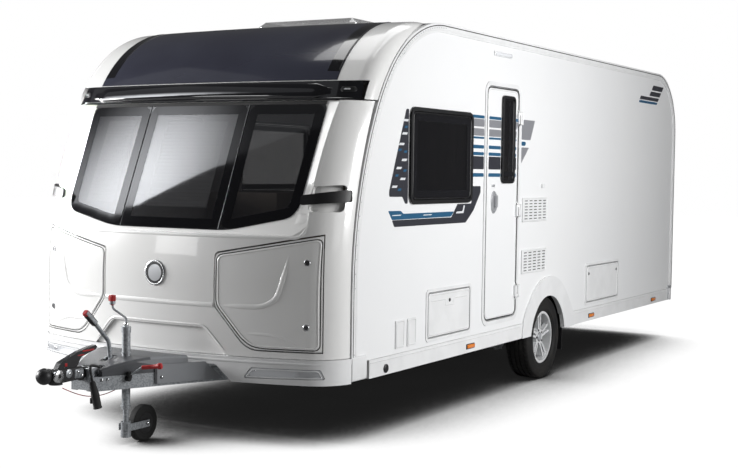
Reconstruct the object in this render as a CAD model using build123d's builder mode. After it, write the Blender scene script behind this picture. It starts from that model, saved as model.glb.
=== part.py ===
"""Single-axle travel caravan, modelled at full size in millimetres.

+Z is up, the drawbar points along -Y, and +X is the caravan's left, where its entrance door is.
The origin lies on the ground under the middle of the overall length and width.
"""

import os
from math import cos, radians, sin, tan

from build123d import *

# ---------------------------------------------------------------- driving dimensions
LENGTH = 7420  # coupling tip to rear bumper
WIDTH = 2260  # side wall to side wall
ROOF_Z = 2505  # top of the roof skin
SKIRT_Z = 358  # lower edge of the side skirts
WALL_Z = 468  # lower edge of the side walls
WALL_T = 30  # sandwich wall thickness
SHELL_T = 25  # thickness of the front and rear mouldings
HALF_W = WIDTH / 2
TIP_Y = -LENGTH / 2
REAR_Y = LENGTH / 2
SEAM_Y = TIP_Y + 1310  # front edge of the side walls
AXLE_Y = 490
GAP = 6  # shut line round doors and lids

# front moulding: the seam curve swept on a plan arc, with a flatter leaning screen let into it
BOW_R = 3000
NOSE_Y = TIP_Y + 940  # foremost point of the front moulding
BOW_AXIS_Y = NOSE_Y + BOW_R
BAR_Z = 2030  # middle height of the lamp bar, where the lower moulding meets the cap
CORNER_R = 250  # plan radius of the lower front corners
SCREEN_R = 7500  # plan radius of the screen and the cap above it
SCREEN_FOOT_Y, SCREEN_FOOT_Z = -2661, 1225
SCREEN_LEAN = 22.56  # degrees from the vertical
SCREEN_TOP_Z = 1980
SCREEN_AXIS_Y = SCREEN_FOOT_Y + SCREEN_R
CAP_CORNER_R = 100

# rear moulding
REAR_BOW_R = 16000
REAR_FACE_Y = REAR_Y - 20
REAR_SEAM_Y = REAR_Y - 60
REAR_TOP_R = 550

# floor and running gear
FLOOR_T = 42
FLOOR_Z = 426
RAIL_H, RAIL_FLANGE, RAIL_T = 115, 45, 5
RAIL_X = 560  # outer face of the main rails
AFRAME_X = 78  # outer face of the drawbar at its front end
AFRAME_Y = TIP_Y + 330
AFRAME_ANGLE = 25.0
RAIL_TOP = FLOOR_Z
RAIL_REAR_Y = 3380
TYRE_R, TYRE_W, RIM_R = 315, 196, 198
WHEEL_X = 1020  # centre plane of each tyre

FAR = 6000  # cutting blocks reach this far


def out(part, name):
    """Labels a finished piece and writes it as its own STEP file."""
    part.label = name
    export_step(part, f"parts/{name}.step")


def both_sides(part):
    """The part together with its mirror image on the caravan's other side."""
    return part + mirror(part, about=Plane.YZ)


def block(x0, x1, y0, y1, z0, z1):
    """A plain cutting block between two corners."""
    with BuildPart() as cutter:
        with BuildSketch(Plane.XY.offset(z0)):
            with Locations(((x0 + x1) / 2, (y0 + y1) / 2)):
                Rectangle(abs(x1 - x0), abs(y1 - y0))
        extrude(amount=z1 - z0)
    return cutter.part


def front_cutter(points, radii, y0=-FAR, y1=-1200):
    """Extrudes a rounded outline, given as (x, z) in the front view, through the nose."""
    with BuildPart() as cutter:
        with BuildSketch(Plane.XZ.offset(-y1)):
            with BuildLine():
                FilletPolyline(*points, radius=radii, close=True)
            make_face()
        extrude(amount=y1 - y0)
    return cutter.part


def side_plate(points, radii, x0, x1):
    """Extrudes a rounded outline, given as (y, z) in the side view, from x0 to x1."""
    with BuildPart() as plate:
        with BuildSketch(Plane.YZ.offset(x0)):
            with BuildLine():
                FilletPolyline(*points, radius=radii, close=True)
            make_face()
        extrude(amount=x1 - x0)
    return plate.part


def box_points(y0, y1, z0, z1):
    """Corners of an upright rectangle."""
    return (y0, z0), (y1, z0), (y1, z1), (y0, z1)


# ---------------------------------------------------------------- body outlines
def wall_outline(inset, low_z):
    """Draws the side wall's outline in the side view, moved in by inset."""
    seam_low = (SEAM_Y + inset, low_z)
    with BuildLine() as outline:
        front = Line(seam_low, (SEAM_Y + inset, 900))
        lean = JernArc(front @ 1, front % 1, 2300 - inset, -27)
        brow = JernArc(lean @ 1, lean % 1, 1300 - inset, -11)
        top_r = (ROOF_Z - inset - (brow @ 1).Y) / (1 - sin(radians(38)))
        shoulder = JernArc(brow @ 1, brow % 1, top_r, -52)
        rear_r = REAR_TOP_R - inset
        top = Line(shoulder @ 1, (REAR_SEAM_Y - REAR_TOP_R, ROOF_Z - inset))
        tail = JernArc(top @ 1, (1, 0), rear_r, -90)
        back = Line(tail @ 1, (REAR_SEAM_Y - inset, low_z))
        Line(back @ 1, seam_low)
    return outline


def wall_slab(inset, low_z, x0, x1):
    """A slab of the side wall's outline between two distances from the centre plane."""
    with BuildPart() as slab:
        with BuildSketch(Plane.YZ.offset(x0)):
            add(wall_outline(inset, low_z))
            make_face()
        extrude(amount=x1 - x0)
    return slab.part


def seam_depth(inset):
    """The seam curve's side profile as (distance ahead, height), moved in by inset."""
    front, roof = BOW_R - inset, ROOF_Z - inset
    with BuildSketch() as profile:
        with BuildLine():
            foot = Line((front, 200), (front, 900))
            lean = JernArc(foot @ 1, (0, 1), 2300 - inset, 27)
            brow = JernArc(lean @ 1, lean % 1, 1300 - inset, 11)
            top_r = (roof - (brow @ 1).Y) / (1 - sin(radians(38)))
            shoulder = JernArc(brow @ 1, brow % 1, top_r, 52)
            Polyline(shoulder @ 1, (1200, roof), (1200, 200), foot @ 0)
        make_face()
    return profile.sketch


def screen_depth(inset):
    """The leaning screen's side profile with the cap's arc up to the roof, moved in by inset."""
    lean = radians(SCREEN_LEAN)
    ahead_at = SCREEN_R - inset / cos(lean)
    brow_z = SCREEN_TOP_Z - inset * sin(lean)
    brow = (ahead_at - (brow_z - SCREEN_FOOT_Z) * tan(lean), brow_z)
    cap_r = (ROOF_Z - inset - brow_z) / (1 - sin(lean))
    with BuildSketch() as profile:
        with BuildLine():
            face = Line((ahead_at + (SCREEN_FOOT_Z - 900) * tan(lean), 900), brow)
            cap = JernArc(brow, (-sin(lean), cos(lean)), cap_r, 90 - SCREEN_LEAN)
            Polyline(cap @ 1, (SCREEN_R - 1800, ROOF_Z - inset), (SCREEN_R - 1800, 900), face @ 0)
        make_face()
    return profile.sketch


def swept(profile, axis_y, sweep_half, half, low_z, top_z, corner_r):
    """Revolves a side profile about an upright axis and trims it to a half width."""
    start = radians(-sweep_half)
    radial = Plane(
        origin=(0, axis_y, 0),
        x_dir=(sin(start), -cos(start), 0),
        z_dir=(-cos(start), -sin(start), 0),
    )
    with BuildPart() as nose:
        with BuildSketch(radial):
            add(profile)
        revolve(axis=Axis((0, axis_y, 0), (0, 0, 1)), revolution_arc=2 * sweep_half)
        add(block(-half, half, -FAR, -1000, low_z, top_z), mode=Mode.INTERSECT)
        if corner_r:
            corners = [
                e
                for e in nose.edges()
                if abs(abs(e.center().X) - half) < 0.5
                and e.bounding_box().size.Z > 1
                and e.bounding_box().max.Y < -1000.5
            ]
            fillet(corners, radius=corner_r)
    return nose.part


def nose_solid(inset, low_z, top_z, corner_r):
    """The front moulding's envelope between two heights, moved in by inset."""
    return swept(seam_depth(inset), BOW_AXIS_Y, 30, HALF_W - inset, low_z, top_z, corner_r)


def screen_solid(inset, low_z, top_z, corner_r=0):
    """The envelope of the screen and the cap between two heights, moved in by inset."""
    return swept(screen_depth(inset), SCREEN_AXIS_Y, 12, HALF_W - inset, low_z, top_z, corner_r)


def ahead_of_seam(amount=0):
    """Everything in front of the side walls' front edges."""
    with BuildPart() as region:
        with BuildSketch(Plane.YZ.offset(-FAR)):
            with BuildLine():
                Polyline((-FAR, 100), (-600, 100), (-600, 3000), (-FAR, 3000), close=True)
            make_face()
        extrude(amount=2 * FAR)
        add(wall_slab(-amount, 0, -FAR, FAR), mode=Mode.SUBTRACT)
    return region.part


os.makedirs("parts", exist_ok=True)

# ---------------------------------------------------------------- front moulding
PANEL_GAP = 4
WINDOW_LOW_Z, WINDOW_TOP_Z = 1216, 1966
WINDOW_HALF, WINDOW_HALF_TOP = 866, 892
PANE_SPLIT_X = 375
MULLION = 22
LID_HINGE_X = 412
LID_OUTER_R = 654  # from the lid's hinge to its free edge
RECESS_DEPTH = 18
CAP_PILLAR_X = 908  # edge of the sunroof glass
SUNROOF_REAR_Y = -1555

window_outline = (
    (-WINDOW_HALF, WINDOW_LOW_Z + 88),
    (-PANE_SPLIT_X - 60, WINDOW_LOW_Z),
    (PANE_SPLIT_X + 60, WINDOW_LOW_Z),
    (WINDOW_HALF, WINDOW_LOW_Z + 88),
    (WINDOW_HALF_TOP, WINDOW_TOP_Z),
    (-WINDOW_HALF_TOP, WINDOW_TOP_Z),
)
window_radii = (110, 900, 900, 110, 45, 45)
recess_outline = ((-335, 660), (335, 660), (495, 505), (495, 300), (-495, 300), (-495, 505))
lid_outline = (
    (LID_HINGE_X + PANEL_GAP, 1086),
    (LID_HINGE_X + PANEL_GAP, 788),
    (622, 548),
    (1200, 548),
    (1200, 1232),
)
lid_opening = (
    (LID_HINGE_X - PANEL_GAP, 1094),
    (LID_HINGE_X - PANEL_GAP, 786),
    (618, 540),
    (1200, 540),
    (1200, 1241),
)
lid_radii = (30, 60, 150, 1, 1)
lid_opening_radii = (30, 60, 158, 1, 1)


def crease_cutter(grow):
    """The outline of the sunken screen area in the front view, widened by grow."""
    low, corner = (905 + 0.6 * grow, 1198 - grow), (945 + grow, 1262)
    waist, top = (950 + grow, 1500), (990 + grow, 2100)
    right_side = (low, corner, waist, top)
    left_side = tuple((-x, z) for x, z in reversed(right_side))
    return front_cutter(right_side + left_side, (60, 60, 400, 1, 1, 400, 60, 60))


lower_base = nose_solid(0, SKIRT_Z, BAR_Z, CORNER_R)
lower_outer = lower_base - (crease_cutter(0) - screen_solid(0, 1100, 2060))
lower_inner = nose_solid(SHELL_T, 200, BAR_Z + 10, CORNER_R - SHELL_T) - (
    crease_cutter(SHELL_T) - screen_solid(SHELL_T, 1100, 2070)
)
ahead = ahead_of_seam(9)
lower_shell = (lower_outer - lower_inner) & ahead

# the lids open on vertical hinges beside the middle panel
lid_hinge_y = BOW_AXIS_Y - (BOW_R**2 - LID_HINGE_X**2) ** 0.5 - 12
with BuildPart() as lid_reach:
    with Locations((LID_HINGE_X, lid_hinge_y, 900)):
        Cylinder(LID_OUTER_R, 1400)
with BuildPart() as lid_opening_reach:
    with Locations((LID_HINGE_X, lid_hinge_y, 900)):
        Cylinder(LID_OUTER_R + GAP + 1, 1400)
lid_cut = front_cutter(lid_outline, lid_radii) & lid_reach.part
lid_hole = front_cutter(lid_opening, lid_opening_radii) & lid_opening_reach.part

window_cut = front_cutter(window_outline, window_radii)
recess_cut = front_cutter(recess_outline, (30, 30, 12, 1, 1, 12))
recess_skin = nose_solid(RECESS_DEPTH, 480, 700, CORNER_R - RECESS_DEPTH)
recess_back = nose_solid(RECESS_DEPTH + 20, 400, 720, CORNER_R - RECESS_DEPTH - 20)

# a scoop behind each grab handle
GRAB_LOW, GRAB_HIGH = 1335, 1490
GRAB_DEPTH, GRAB_WALL = 42, 8
scoop_outline = ((928, GRAB_LOW), (1100, GRAB_LOW), (1100, GRAB_HIGH), (940, GRAB_HIGH - 14))
tub_outline = (
    (928 - GRAB_WALL, GRAB_LOW - GRAB_WALL),
    (1100 + GRAB_WALL, GRAB_LOW - GRAB_WALL),
    (1100 + GRAB_WALL, GRAB_HIGH + GRAB_WALL),
    (940 - GRAB_WALL, GRAB_HIGH - 14 + GRAB_WALL),
)
scoop_cut = front_cutter(scoop_outline, (20,) * 4, y1=-2400)
tub_cut = front_cutter(tub_outline, (26,) * 4, y1=-2400)
scoop_floor = nose_solid(GRAB_DEPTH, GRAB_LOW - 40, GRAB_HIGH + 40, CORNER_R - GRAB_DEPTH)
tub_back = nose_solid(
    GRAB_DEPTH + GRAB_WALL, GRAB_LOW - 50, GRAB_HIGH + 50, CORNER_R - GRAB_DEPTH - GRAB_WALL
)
tub_skin = nose_solid(SHELL_T - 2, GRAB_LOW - 40, GRAB_HIGH + 40, CORNER_R - SHELL_T + 2)
tub_walls = (tub_skin - tub_back) & (tub_cut - scoop_cut)
tub_floor = (scoop_floor - tub_back) & tub_cut

with BuildPart() as front_panel:
    add(lower_shell)
    add(both_sides(lid_hole), mode=Mode.SUBTRACT)
    add(window_cut, mode=Mode.SUBTRACT)
    add(recess_cut, mode=Mode.SUBTRACT)
    add((recess_skin - recess_back) & recess_cut)
    add(both_sides(scoop_cut), mode=Mode.SUBTRACT)
    add(both_sides(tub_walls + tub_floor))
    add(block(-FAR, FAR, -FAR, FAR, 505, 1976), mode=Mode.INTERSECT)
out(front_panel.part, "front_panel")

with BuildPart() as locker_lid_left:
    add(lower_outer - nose_solid(14, 200, BAR_Z + 10, CORNER_R - 14))
    add(lid_cut, mode=Mode.INTERSECT)
out(locker_lid_left.part, "locker_lid_left")

with BuildPart() as locker_lid_right:
    add(mirror(locker_lid_left.part, about=Plane.YZ))
out(locker_lid_right.part, "locker_lid_right")

# bumper: a slightly proud band under the panel, open in the middle for the drawbar
BUMPER_TOP_Z = 502
BUMPER_PROUD = 10
tunnel_outline = ((-430, 452), (430, 452), (600, 300), (-600, 300))
lamp_outline = ((602, 384), (1062, 394), (1040, 450), (650, 448))
lamp_cut = both_sides(front_cutter(lamp_outline, (8, 8, 14, 20)))
bumper_outer = nose_solid(-BUMPER_PROUD, SKIRT_Z, BUMPER_TOP_Z, CORNER_R + 10)
bumper_inner = nose_solid(SHELL_T - 5, 200, BUMPER_TOP_Z + 10, CORNER_R - SHELL_T + 5)
with BuildPart() as front_valance:
    add(bumper_outer - bumper_inner)
    add(ahead, mode=Mode.INTERSECT)
    add(front_cutter(tunnel_outline, (40, 40, 1, 1)), mode=Mode.SUBTRACT)
    add(lamp_cut, mode=Mode.SUBTRACT)

lamp_glass = nose_solid(-BUMPER_PROUD + 2, 360, 470, CORNER_R + 8)
lamp_back = nose_solid(8, 340, 490, CORNER_R - 8)
front_lamp_cut = ((607, 387), (1058, 397), (1037, 447), (653, 445))
with BuildPart() as front_lamp:
    add(lamp_glass - lamp_back)
    add(front_cutter(front_lamp_cut, (8, 8, 14, 20)), mode=Mode.INTERSECT)
with BuildPart() as front_lamps:
    add(both_sides(front_lamp.part))
out(front_lamps.part, "front_lamps")

# windows: three curved panes in one opening, on a dark inner frame
pane_skin = screen_solid(-3, 1150, 2050) - screen_solid(3, 1100, 2060)
with BuildPart() as front_panes:
    add(pane_skin)
    add(front_cutter(window_outline, window_radii), mode=Mode.INTERSECT)
    for split_x in (-PANE_SPLIT_X, PANE_SPLIT_X):
        add(block(split_x - 4, split_x + 4, -FAR, -900, 1000, 2100), mode=Mode.SUBTRACT)
    add(block(-FAR, FAR, -FAR, FAR, 1000, 1960), mode=Mode.INTERSECT)
frame_skin = screen_solid(4, 1150, 2000) - screen_solid(SHELL_T, 1100, 2060)
inner_half = PANE_SPLIT_X - MULLION
middle_hole = box_points(-inner_half, inner_half, WINDOW_LOW_Z + 34, WINDOW_TOP_Z - 40)
side_hole = (
    (PANE_SPLIT_X + MULLION, WINDOW_LOW_Z + 34),
    (WINDOW_HALF - 130, WINDOW_LOW_Z + 74),
    (WINDOW_HALF - 32, WINDOW_LOW_Z + 140),
    (WINDOW_HALF_TOP - 38, WINDOW_TOP_Z - 40),
    (PANE_SPLIT_X + MULLION, WINDOW_TOP_Z - 40),
)
with BuildPart() as front_window_frame:
    add(frame_skin)
    add(window_cut, mode=Mode.INTERSECT)
    add(front_cutter(middle_hole, (30,) * 4), mode=Mode.SUBTRACT)
    add(both_sides(front_cutter(side_hole, (30,) * 5)), mode=Mode.SUBTRACT)
    add(block(-FAR, FAR, -FAR, FAR, 1000, 1960), mode=Mode.INTERSECT)
out(front_window_frame.part, "front_window_frame")

# lamp bar: a glossy band round the brow, curving back at its ends
BAR_LOW_Z, BAR_TOP_Z = 1980, 2092
BAR_PROUD, BAR_HALF, BAR_LEAN = 24, 1096, 25
bar_foot = SCREEN_R + BAR_PROUD - (BAR_LOW_Z - SCREEN_FOOT_Z) * tan(radians(SCREEN_LEAN))
bar_half = HALF_W + BAR_PROUD
bar_side_y = SCREEN_AXIS_Y - (bar_foot**2 - bar_half**2) ** 0.5
with BuildPart() as bar_body:
    with BuildSketch(Plane.XY.offset(BAR_LOW_Z)) as bar_plan:
        with BuildLine():
            middle = (0, SCREEN_AXIS_Y - bar_foot)
            ThreePointArc((-bar_half, bar_side_y), middle, (bar_half, bar_side_y))
            Polyline(
                (bar_half, bar_side_y), (bar_half, -1500), (-bar_half, -1500), (-bar_half, bar_side_y)
            )
        make_face()
        fillet(bar_plan.vertices().sort_by(Axis.Y)[:2], radius=240)
    extrude(amount=BAR_TOP_Z - BAR_LOW_Z, taper=BAR_LEAN)
bar_inner = screen_solid(SHELL_T, BAR_LOW_Z - 5, BAR_TOP_Z + 5)
with BuildPart() as lamp_bar:
    add(bar_body.part - bar_inner)
    add(block(-BAR_HALF, BAR_HALF, -FAR, SEAM_Y + 240, 1900, 2200), mode=Mode.INTERSECT)
out(lamp_bar.part, "lamp_bar")

# cap: the moulding over the lamp bar, with the sunroof glass let into it
cap_outer = screen_solid(0, BAR_LOW_Z + 2, 2600, CAP_CORNER_R)
cap_inner = screen_solid(SHELL_T, BAR_LOW_Z - 8, 2600, CAP_CORNER_R - SHELL_T)
with BuildPart() as sunroof_cut:
    with BuildSketch(Plane.XY.offset(2098)) as glass_plan:
        with Locations((0, SUNROOF_REAR_Y - 600)):
            Rectangle(2 * CAP_PILLAR_X, 1200)
        fillet(glass_plan.vertices().sort_by(Axis.Y)[-2:], radius=70)
    extrude(amount=600)
with BuildPart() as front_cap:
    add(cap_outer - cap_inner)
    add(ahead, mode=Mode.INTERSECT)
    add(block(-BAR_HALF - 4, BAR_HALF + 4, -FAR, 0, 1900, BAR_TOP_Z + 2), mode=Mode.SUBTRACT)
    add(sunroof_cut.part, mode=Mode.SUBTRACT)
out(front_cap.part, "front_cap")

sunroof_half = CAP_PILLAR_X - 4
with BuildPart() as sunroof_glass:
    add(screen_solid(-2, BAR_LOW_Z + 50, 2600) - screen_solid(4, BAR_LOW_Z + 40, 2600))
    add(sunroof_cut.part, mode=Mode.INTERSECT)
    glass_rear = SUNROOF_REAR_Y - 4
    add(block(-sunroof_half, sunroof_half, -FAR, glass_rear, BAR_TOP_Z + 8, 2600), mode=Mode.INTERSECT)
with BuildPart() as front_glass:
    add(front_panes.part)
    add(sunroof_glass.part)
out(front_glass.part, "front_glass")

# ---------------------------------------------------------------- side walls and roof
WALL_X0 = HALF_W - WALL_T
WINDOW = {"y0": -1750, "y1": -878, "z0": 1369, "z1": 1967}
DOOR = {"y0": -643, "y1": -116, "z0": 547, "z1": 2161}
DOOR_FRAME_W = 36
DOOR_HINGE_X, DOOR_HINGE_Y = HALF_W + 21, DOOR["y1"] + 26
HATCHES_LEFT = {"front": (-1499, -846, 492, 827), "rear": (1297, 2112, 491, 837)}
HATCH_FRAME_W = 20
WINDOWS_RIGHT = {"lounge": (-1750, -878, 1369, 1967), "kitchen": (-420, 620, 1369, 1967)}
WASHROOM_WINDOW = (2350, 2950, 1369, 1967)
CASSETTE_HATCH = (2480, 2880, 560, 880)
SERVICE_HATCH = (-1300, -880, 560, 900)
arch_points = ((AXLE_Y - 326, 300), (AXLE_Y - 326, 453), (AXLE_Y - 129, 650))
arch_outline = arch_points + ((AXLE_Y + 149, 650), (AXLE_Y + 346, 453), (AXLE_Y + 346, 300))
arch_radii = (1, 320, 320, 320, 320, 1)


def rounded_cut(y0, y1, z0, z1, radius, side=1, x0=1000, x1=1200):
    """A rounded opening through one side wall; side is +1 for the left and -1 for the right."""
    cut = side_plate(box_points(y0, y1, z0, z1), (radius,) * 4, x0, x1)
    return cut if side > 0 else mirror(cut, about=Plane.YZ)


def framed(y0, y1, z0, z1, width):
    """Shrinks an opening's size all round by width."""
    return y0 + width, y1 - width, z0 + width, z1 - width


arch_cut = side_plate(arch_points + arch_outline[3:], arch_radii, 1000, 1200)
wall_blank = wall_slab(0, WALL_Z, WALL_X0, HALF_W)
window_box = (WINDOW["y0"], WINDOW["y1"], WINDOW["z0"], WINDOW["z1"])
door_box = (DOOR["y0"] - 8, DOOR["y1"] + 8, DOOR["z0"] - 8, DOOR["z1"] + 8)
door_hole = (DOOR["y0"] - 20, DOOR["y1"] + 20, DOOR["z0"] - 20, DOOR["z1"] + 20)

with BuildPart() as wall_left:
    add(wall_blank)
    add(arch_cut, mode=Mode.SUBTRACT)
    add(rounded_cut(*framed(*window_box, 12), 50), mode=Mode.SUBTRACT)
    add(rounded_cut(*door_hole, 70), mode=Mode.SUBTRACT)
    for hatch_box in HATCHES_LEFT.values():
        add(rounded_cut(*framed(*hatch_box, 8), 30), mode=Mode.SUBTRACT)

with BuildPart() as wall_right:
    add(mirror(wall_blank - arch_cut, about=Plane.YZ))
    for window_size in (*WINDOWS_RIGHT.values(), WASHROOM_WINDOW):
        add(rounded_cut(*framed(*window_size, 12), 50, side=-1), mode=Mode.SUBTRACT)
    for hatch_box in (CASSETTE_HATCH, SERVICE_HATCH):
        add(rounded_cut(*framed(*hatch_box, 8), 30, side=-1), mode=Mode.SUBTRACT)
with BuildPart() as side_walls:
    add(wall_left.part)
    add(wall_right.part)
out(side_walls.part, "side_walls")

# roof: one flat sheet with two rooflight openings, down to the start of the rear curve
ROOF_FRONT_Y = SEAM_Y + 978
ROOF_REAR_Y = REAR_SEAM_Y - REAR_TOP_R
ROOFLIGHTS = {"front": (0, -905, 820, 620), "rear": (-300, 1750, 420, 420)}
with BuildPart() as roof:
    with BuildSketch(Plane.XY.offset(ROOF_Z - WALL_T)):
        with Locations((0, (ROOF_FRONT_Y + ROOF_REAR_Y) / 2)):
            Rectangle(2 * WALL_X0 - 1, ROOF_REAR_Y - ROOF_FRONT_Y)
        for light_x, light_y, light_w, light_l in ROOFLIGHTS.values():
            with Locations((light_x, light_y)):
                Rectangle(light_w - 60, light_l - 60, mode=Mode.SUBTRACT)
    extrude(amount=WALL_T)
out(roof.part, "roof")


def rear_solid(inset, low_z):
    """The rear moulding's envelope: a bowed plan crossed with the side view."""
    half = WALL_X0 + WALL_T - inset
    with BuildPart() as body:
        with BuildSketch(Plane.YZ.offset(-1200)):
            with BuildLine():
                top = Line((2600, ROOF_Z - inset), (REAR_FACE_Y - REAR_TOP_R, ROOF_Z - inset))
                tail = JernArc(top @ 1, (1, 0), REAR_TOP_R - inset, -90)
                Polyline(tail @ 1, ((tail @ 1).X, low_z), (2600, low_z), top @ 0)
            make_face()
        extrude(amount=2400)
        with BuildSketch(Plane.XY) as plan:
            with BuildLine():
                bow = ThreePointArc(
                    (-half, REAR_SEAM_Y - inset), (0, REAR_FACE_Y - inset), (half, REAR_SEAM_Y - inset)
                )
                Polyline(bow @ 1, (half, 2600), (-half, 2600), bow @ 0)
            make_face()
            fillet(plan.vertices().sort_by(Axis.Y)[-2:], radius=60 - inset)
        extrude(amount=3000, mode=Mode.INTERSECT)
    return body.part


behind_seam = block(-FAR, FAR, 2000, FAR, 0, 3000) - wall_slab(-9, 0, -FAR, FAR)
between_walls = block(1 - WALL_X0, WALL_X0 - 1, ROOF_REAR_Y + 1, FAR, 0, 3000)
REAR_WINDOW = (520, 1330, 1900)  # half width, low and high edges
with BuildPart() as rear_window_cut:
    with BuildSketch(Plane.XZ.offset(-4000)):
        with Locations((0, (REAR_WINDOW[1] + REAR_WINDOW[2]) / 2)):
            RectangleRounded(2 * REAR_WINDOW[0], REAR_WINDOW[2] - REAR_WINDOW[1], 60)
    extrude(amount=600)
with BuildPart() as rear_panel:
    add(rear_solid(0, WALL_Z) - rear_solid(SHELL_T, 400))
    add(behind_seam + between_walls, mode=Mode.INTERSECT)
    add(rear_window_cut.part, mode=Mode.SUBTRACT)
out(rear_panel.part, "rear_panel")

with BuildPart() as rear_window:
    add(rear_solid(-3, 600) - rear_solid(4, 500))
    add(rear_window_cut.part, mode=Mode.INTERSECT)

LAMP_Z0, LAMP_Z1 = 640, 980
with BuildPart() as rear_lamps:
    add(rear_solid(-16, 500) - rear_solid(-0.3, 400))
    add(block(-1050, 1050, 3500, FAR, LAMP_Z0, LAMP_Z1), mode=Mode.INTERSECT)
    add(block(-880, 880, 3500, FAR, 0, 3000), mode=Mode.SUBTRACT)
out(rear_lamps.part, "rear_lamps")

with BuildPart() as bumpers:
    add(rear_solid(-20, SKIRT_Z) - rear_solid(SHELL_T - 8, 300))
    add(block(-FAR, FAR, 3000, FAR, SKIRT_Z, WALL_Z - 1), mode=Mode.INTERSECT)
    add(block(-FAR, FAR, 3562, FAR, 0, 3000), mode=Mode.INTERSECT)
    add(front_valance.part)
out(bumpers.part, "bumpers")

# awning rails wrap the edge between each wall and the roof, front and rear mouldings
RAIL_OUT, RAIL_BAND = 8, 52
with BuildPart() as edge_rail:
    add(wall_slab(-RAIL_OUT, WALL_Z, HALF_W + 0.3, HALF_W + 8))
    add(wall_slab(RAIL_BAND, 0, HALF_W - 5, HALF_W + 20), mode=Mode.SUBTRACT)
    add(wall_slab(-RAIL_OUT, WALL_Z, WALL_X0 + 6, HALF_W + 1) - wall_slab(-0.3, 0, 900, 1300))
with BuildPart() as awning_rails:
    add(both_sides(edge_rail.part))
out(awning_rails.part, "awning_rails")

# ---------------------------------------------------------------- skirts, floor and chassis
SKIRT_FRONT_Y, SKIRT_REAR_Y = SEAM_Y + 200, 3556
ARCH_TOP = 785  # top of the moulding round the wheel opening
spat_points = (
    (AXLE_Y - 480, SKIRT_Z),
    (AXLE_Y - 480, 492),
    (AXLE_Y - 187, ARCH_TOP),
    (AXLE_Y + 227, ARCH_TOP),
    (AXLE_Y + 520, 492),
    (AXLE_Y + 550, SKIRT_Z),
)
wide_arch = tuple((y, z - 60 if z < 400 else z - 14) for y, z in arch_outline)

with BuildPart() as skirt:
    with BuildSketch(Plane.YZ.offset(HALF_W - 20)):
        with Locations(((SKIRT_FRONT_Y + SKIRT_REAR_Y) / 2, (SKIRT_Z + WALL_Z - 2) / 2)):
            Rectangle(SKIRT_REAR_Y - SKIRT_FRONT_Y, WALL_Z - 2 - SKIRT_Z)
    extrude(amount=24)
    add(side_plate(spat_points, (1, 300, 480, 480, 250, 1), HALF_W + 0.3, HALF_W + 14))
    add(side_plate(wide_arch, arch_radii, 1000, 1200), mode=Mode.SUBTRACT)
with BuildPart() as skirts:
    add(both_sides(skirt.part))
out(skirts.part, "skirts")

FLOOR_HALF = WALL_X0 - 2
BOX_X0, BOX_Y0, BOX_Y1 = 800, AXLE_Y - 400, AXLE_Y + 390
with BuildPart() as floor:
    with BuildSketch(Plane.XY.offset(FLOOR_Z)):
        with Locations((0, (SEAM_Y + 10 + REAR_SEAM_Y - 60) / 2)):
            Rectangle(2 * FLOOR_HALF, REAR_SEAM_Y - 60 - SEAM_Y - 10)
        for side in (-1, 1):
            with Locations((side * (BOX_X0 + 160), (BOX_Y0 + BOX_Y1) / 2)):
                Rectangle(2 * 160 + 40, BOX_Y1 - BOX_Y0, mode=Mode.SUBTRACT)
    extrude(amount=FLOOR_T)
out(floor.part, "floor")

liner_outer = ((BOX_Y0, FLOOR_Z - 20), (BOX_Y0, 640), (AXLE_Y - 230, 760))
liner_outer += ((AXLE_Y + 220, 760), (BOX_Y1, 640), (BOX_Y1, FLOOR_Z - 20))
liner_inner = ((BOX_Y0 + 6, 300), (BOX_Y0 + 6, 637), (AXLE_Y - 228, 754))
liner_inner += ((AXLE_Y + 218, 754), (BOX_Y1 - 6, 637), (BOX_Y1 - 6, 300))
liner_radii = (1, 90, 90, 90, 90, 1)
with BuildPart() as wheel_box:
    add(side_plate(liner_outer, liner_radii, BOX_X0, WALL_X0 - 1))
    add(side_plate(liner_inner, liner_radii, BOX_X0 + 6, WALL_X0 + 1), mode=Mode.SUBTRACT)
    with Locations((WHEEL_X - 12, BOX_Y1 + 4, 300)):
        Box(190, 8, 250)
with BuildPart() as wheel_boxes:
    add(both_sides(wheel_box.part))
out(wheel_boxes.part, "wheel_boxes")

aframe_slope = tan(radians(AFRAME_ANGLE))
aframe_join_y = AFRAME_Y + (RAIL_X - AFRAME_X) / aframe_slope
AFRAME_Z0, AFRAME_Z1 = 345, 424
with BuildPart() as rail:
    with Locations((RAIL_X - RAIL_FLANGE / 2, (aframe_join_y + RAIL_REAR_Y) / 2, RAIL_TOP - RAIL_H / 2)):
        Box(RAIL_FLANGE, RAIL_REAR_Y - aframe_join_y, RAIL_H)
    rail_mid_y = (aframe_join_y + RAIL_REAR_Y) / 2
    with Locations((RAIL_X - RAIL_FLANGE / 2 - RAIL_T, rail_mid_y, RAIL_TOP - RAIL_H / 2)):
        Box(RAIL_FLANGE, RAIL_REAR_Y - aframe_join_y + 2, RAIL_H - 2 * RAIL_T, mode=Mode.SUBTRACT)
    with BuildSketch(Plane.XY.offset(AFRAME_Z0)):
        with BuildLine():
            Polyline(
                (AFRAME_X, AFRAME_Y),
                (RAIL_X, aframe_join_y),
                (RAIL_X, aframe_join_y + 60),
                (RAIL_X - RAIL_FLANGE, aframe_join_y + 60),
                (AFRAME_X - RAIL_FLANGE, AFRAME_Y),
                close=True,
            )
        make_face()
    extrude(amount=AFRAME_Z1 - AFRAME_Z0)
SHAFT_Z = 446
STEADY_X = 470
STEADY_PIVOTS = {"front": aframe_join_y + 190, "rear": 3250}
STEADY_Z, STEADY_LEG = 352, 430
CROSS_MEMBERS = (AFRAME_Y + 40, aframe_join_y + 30, -700, 1500, RAIL_REAR_Y - 30)
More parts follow.
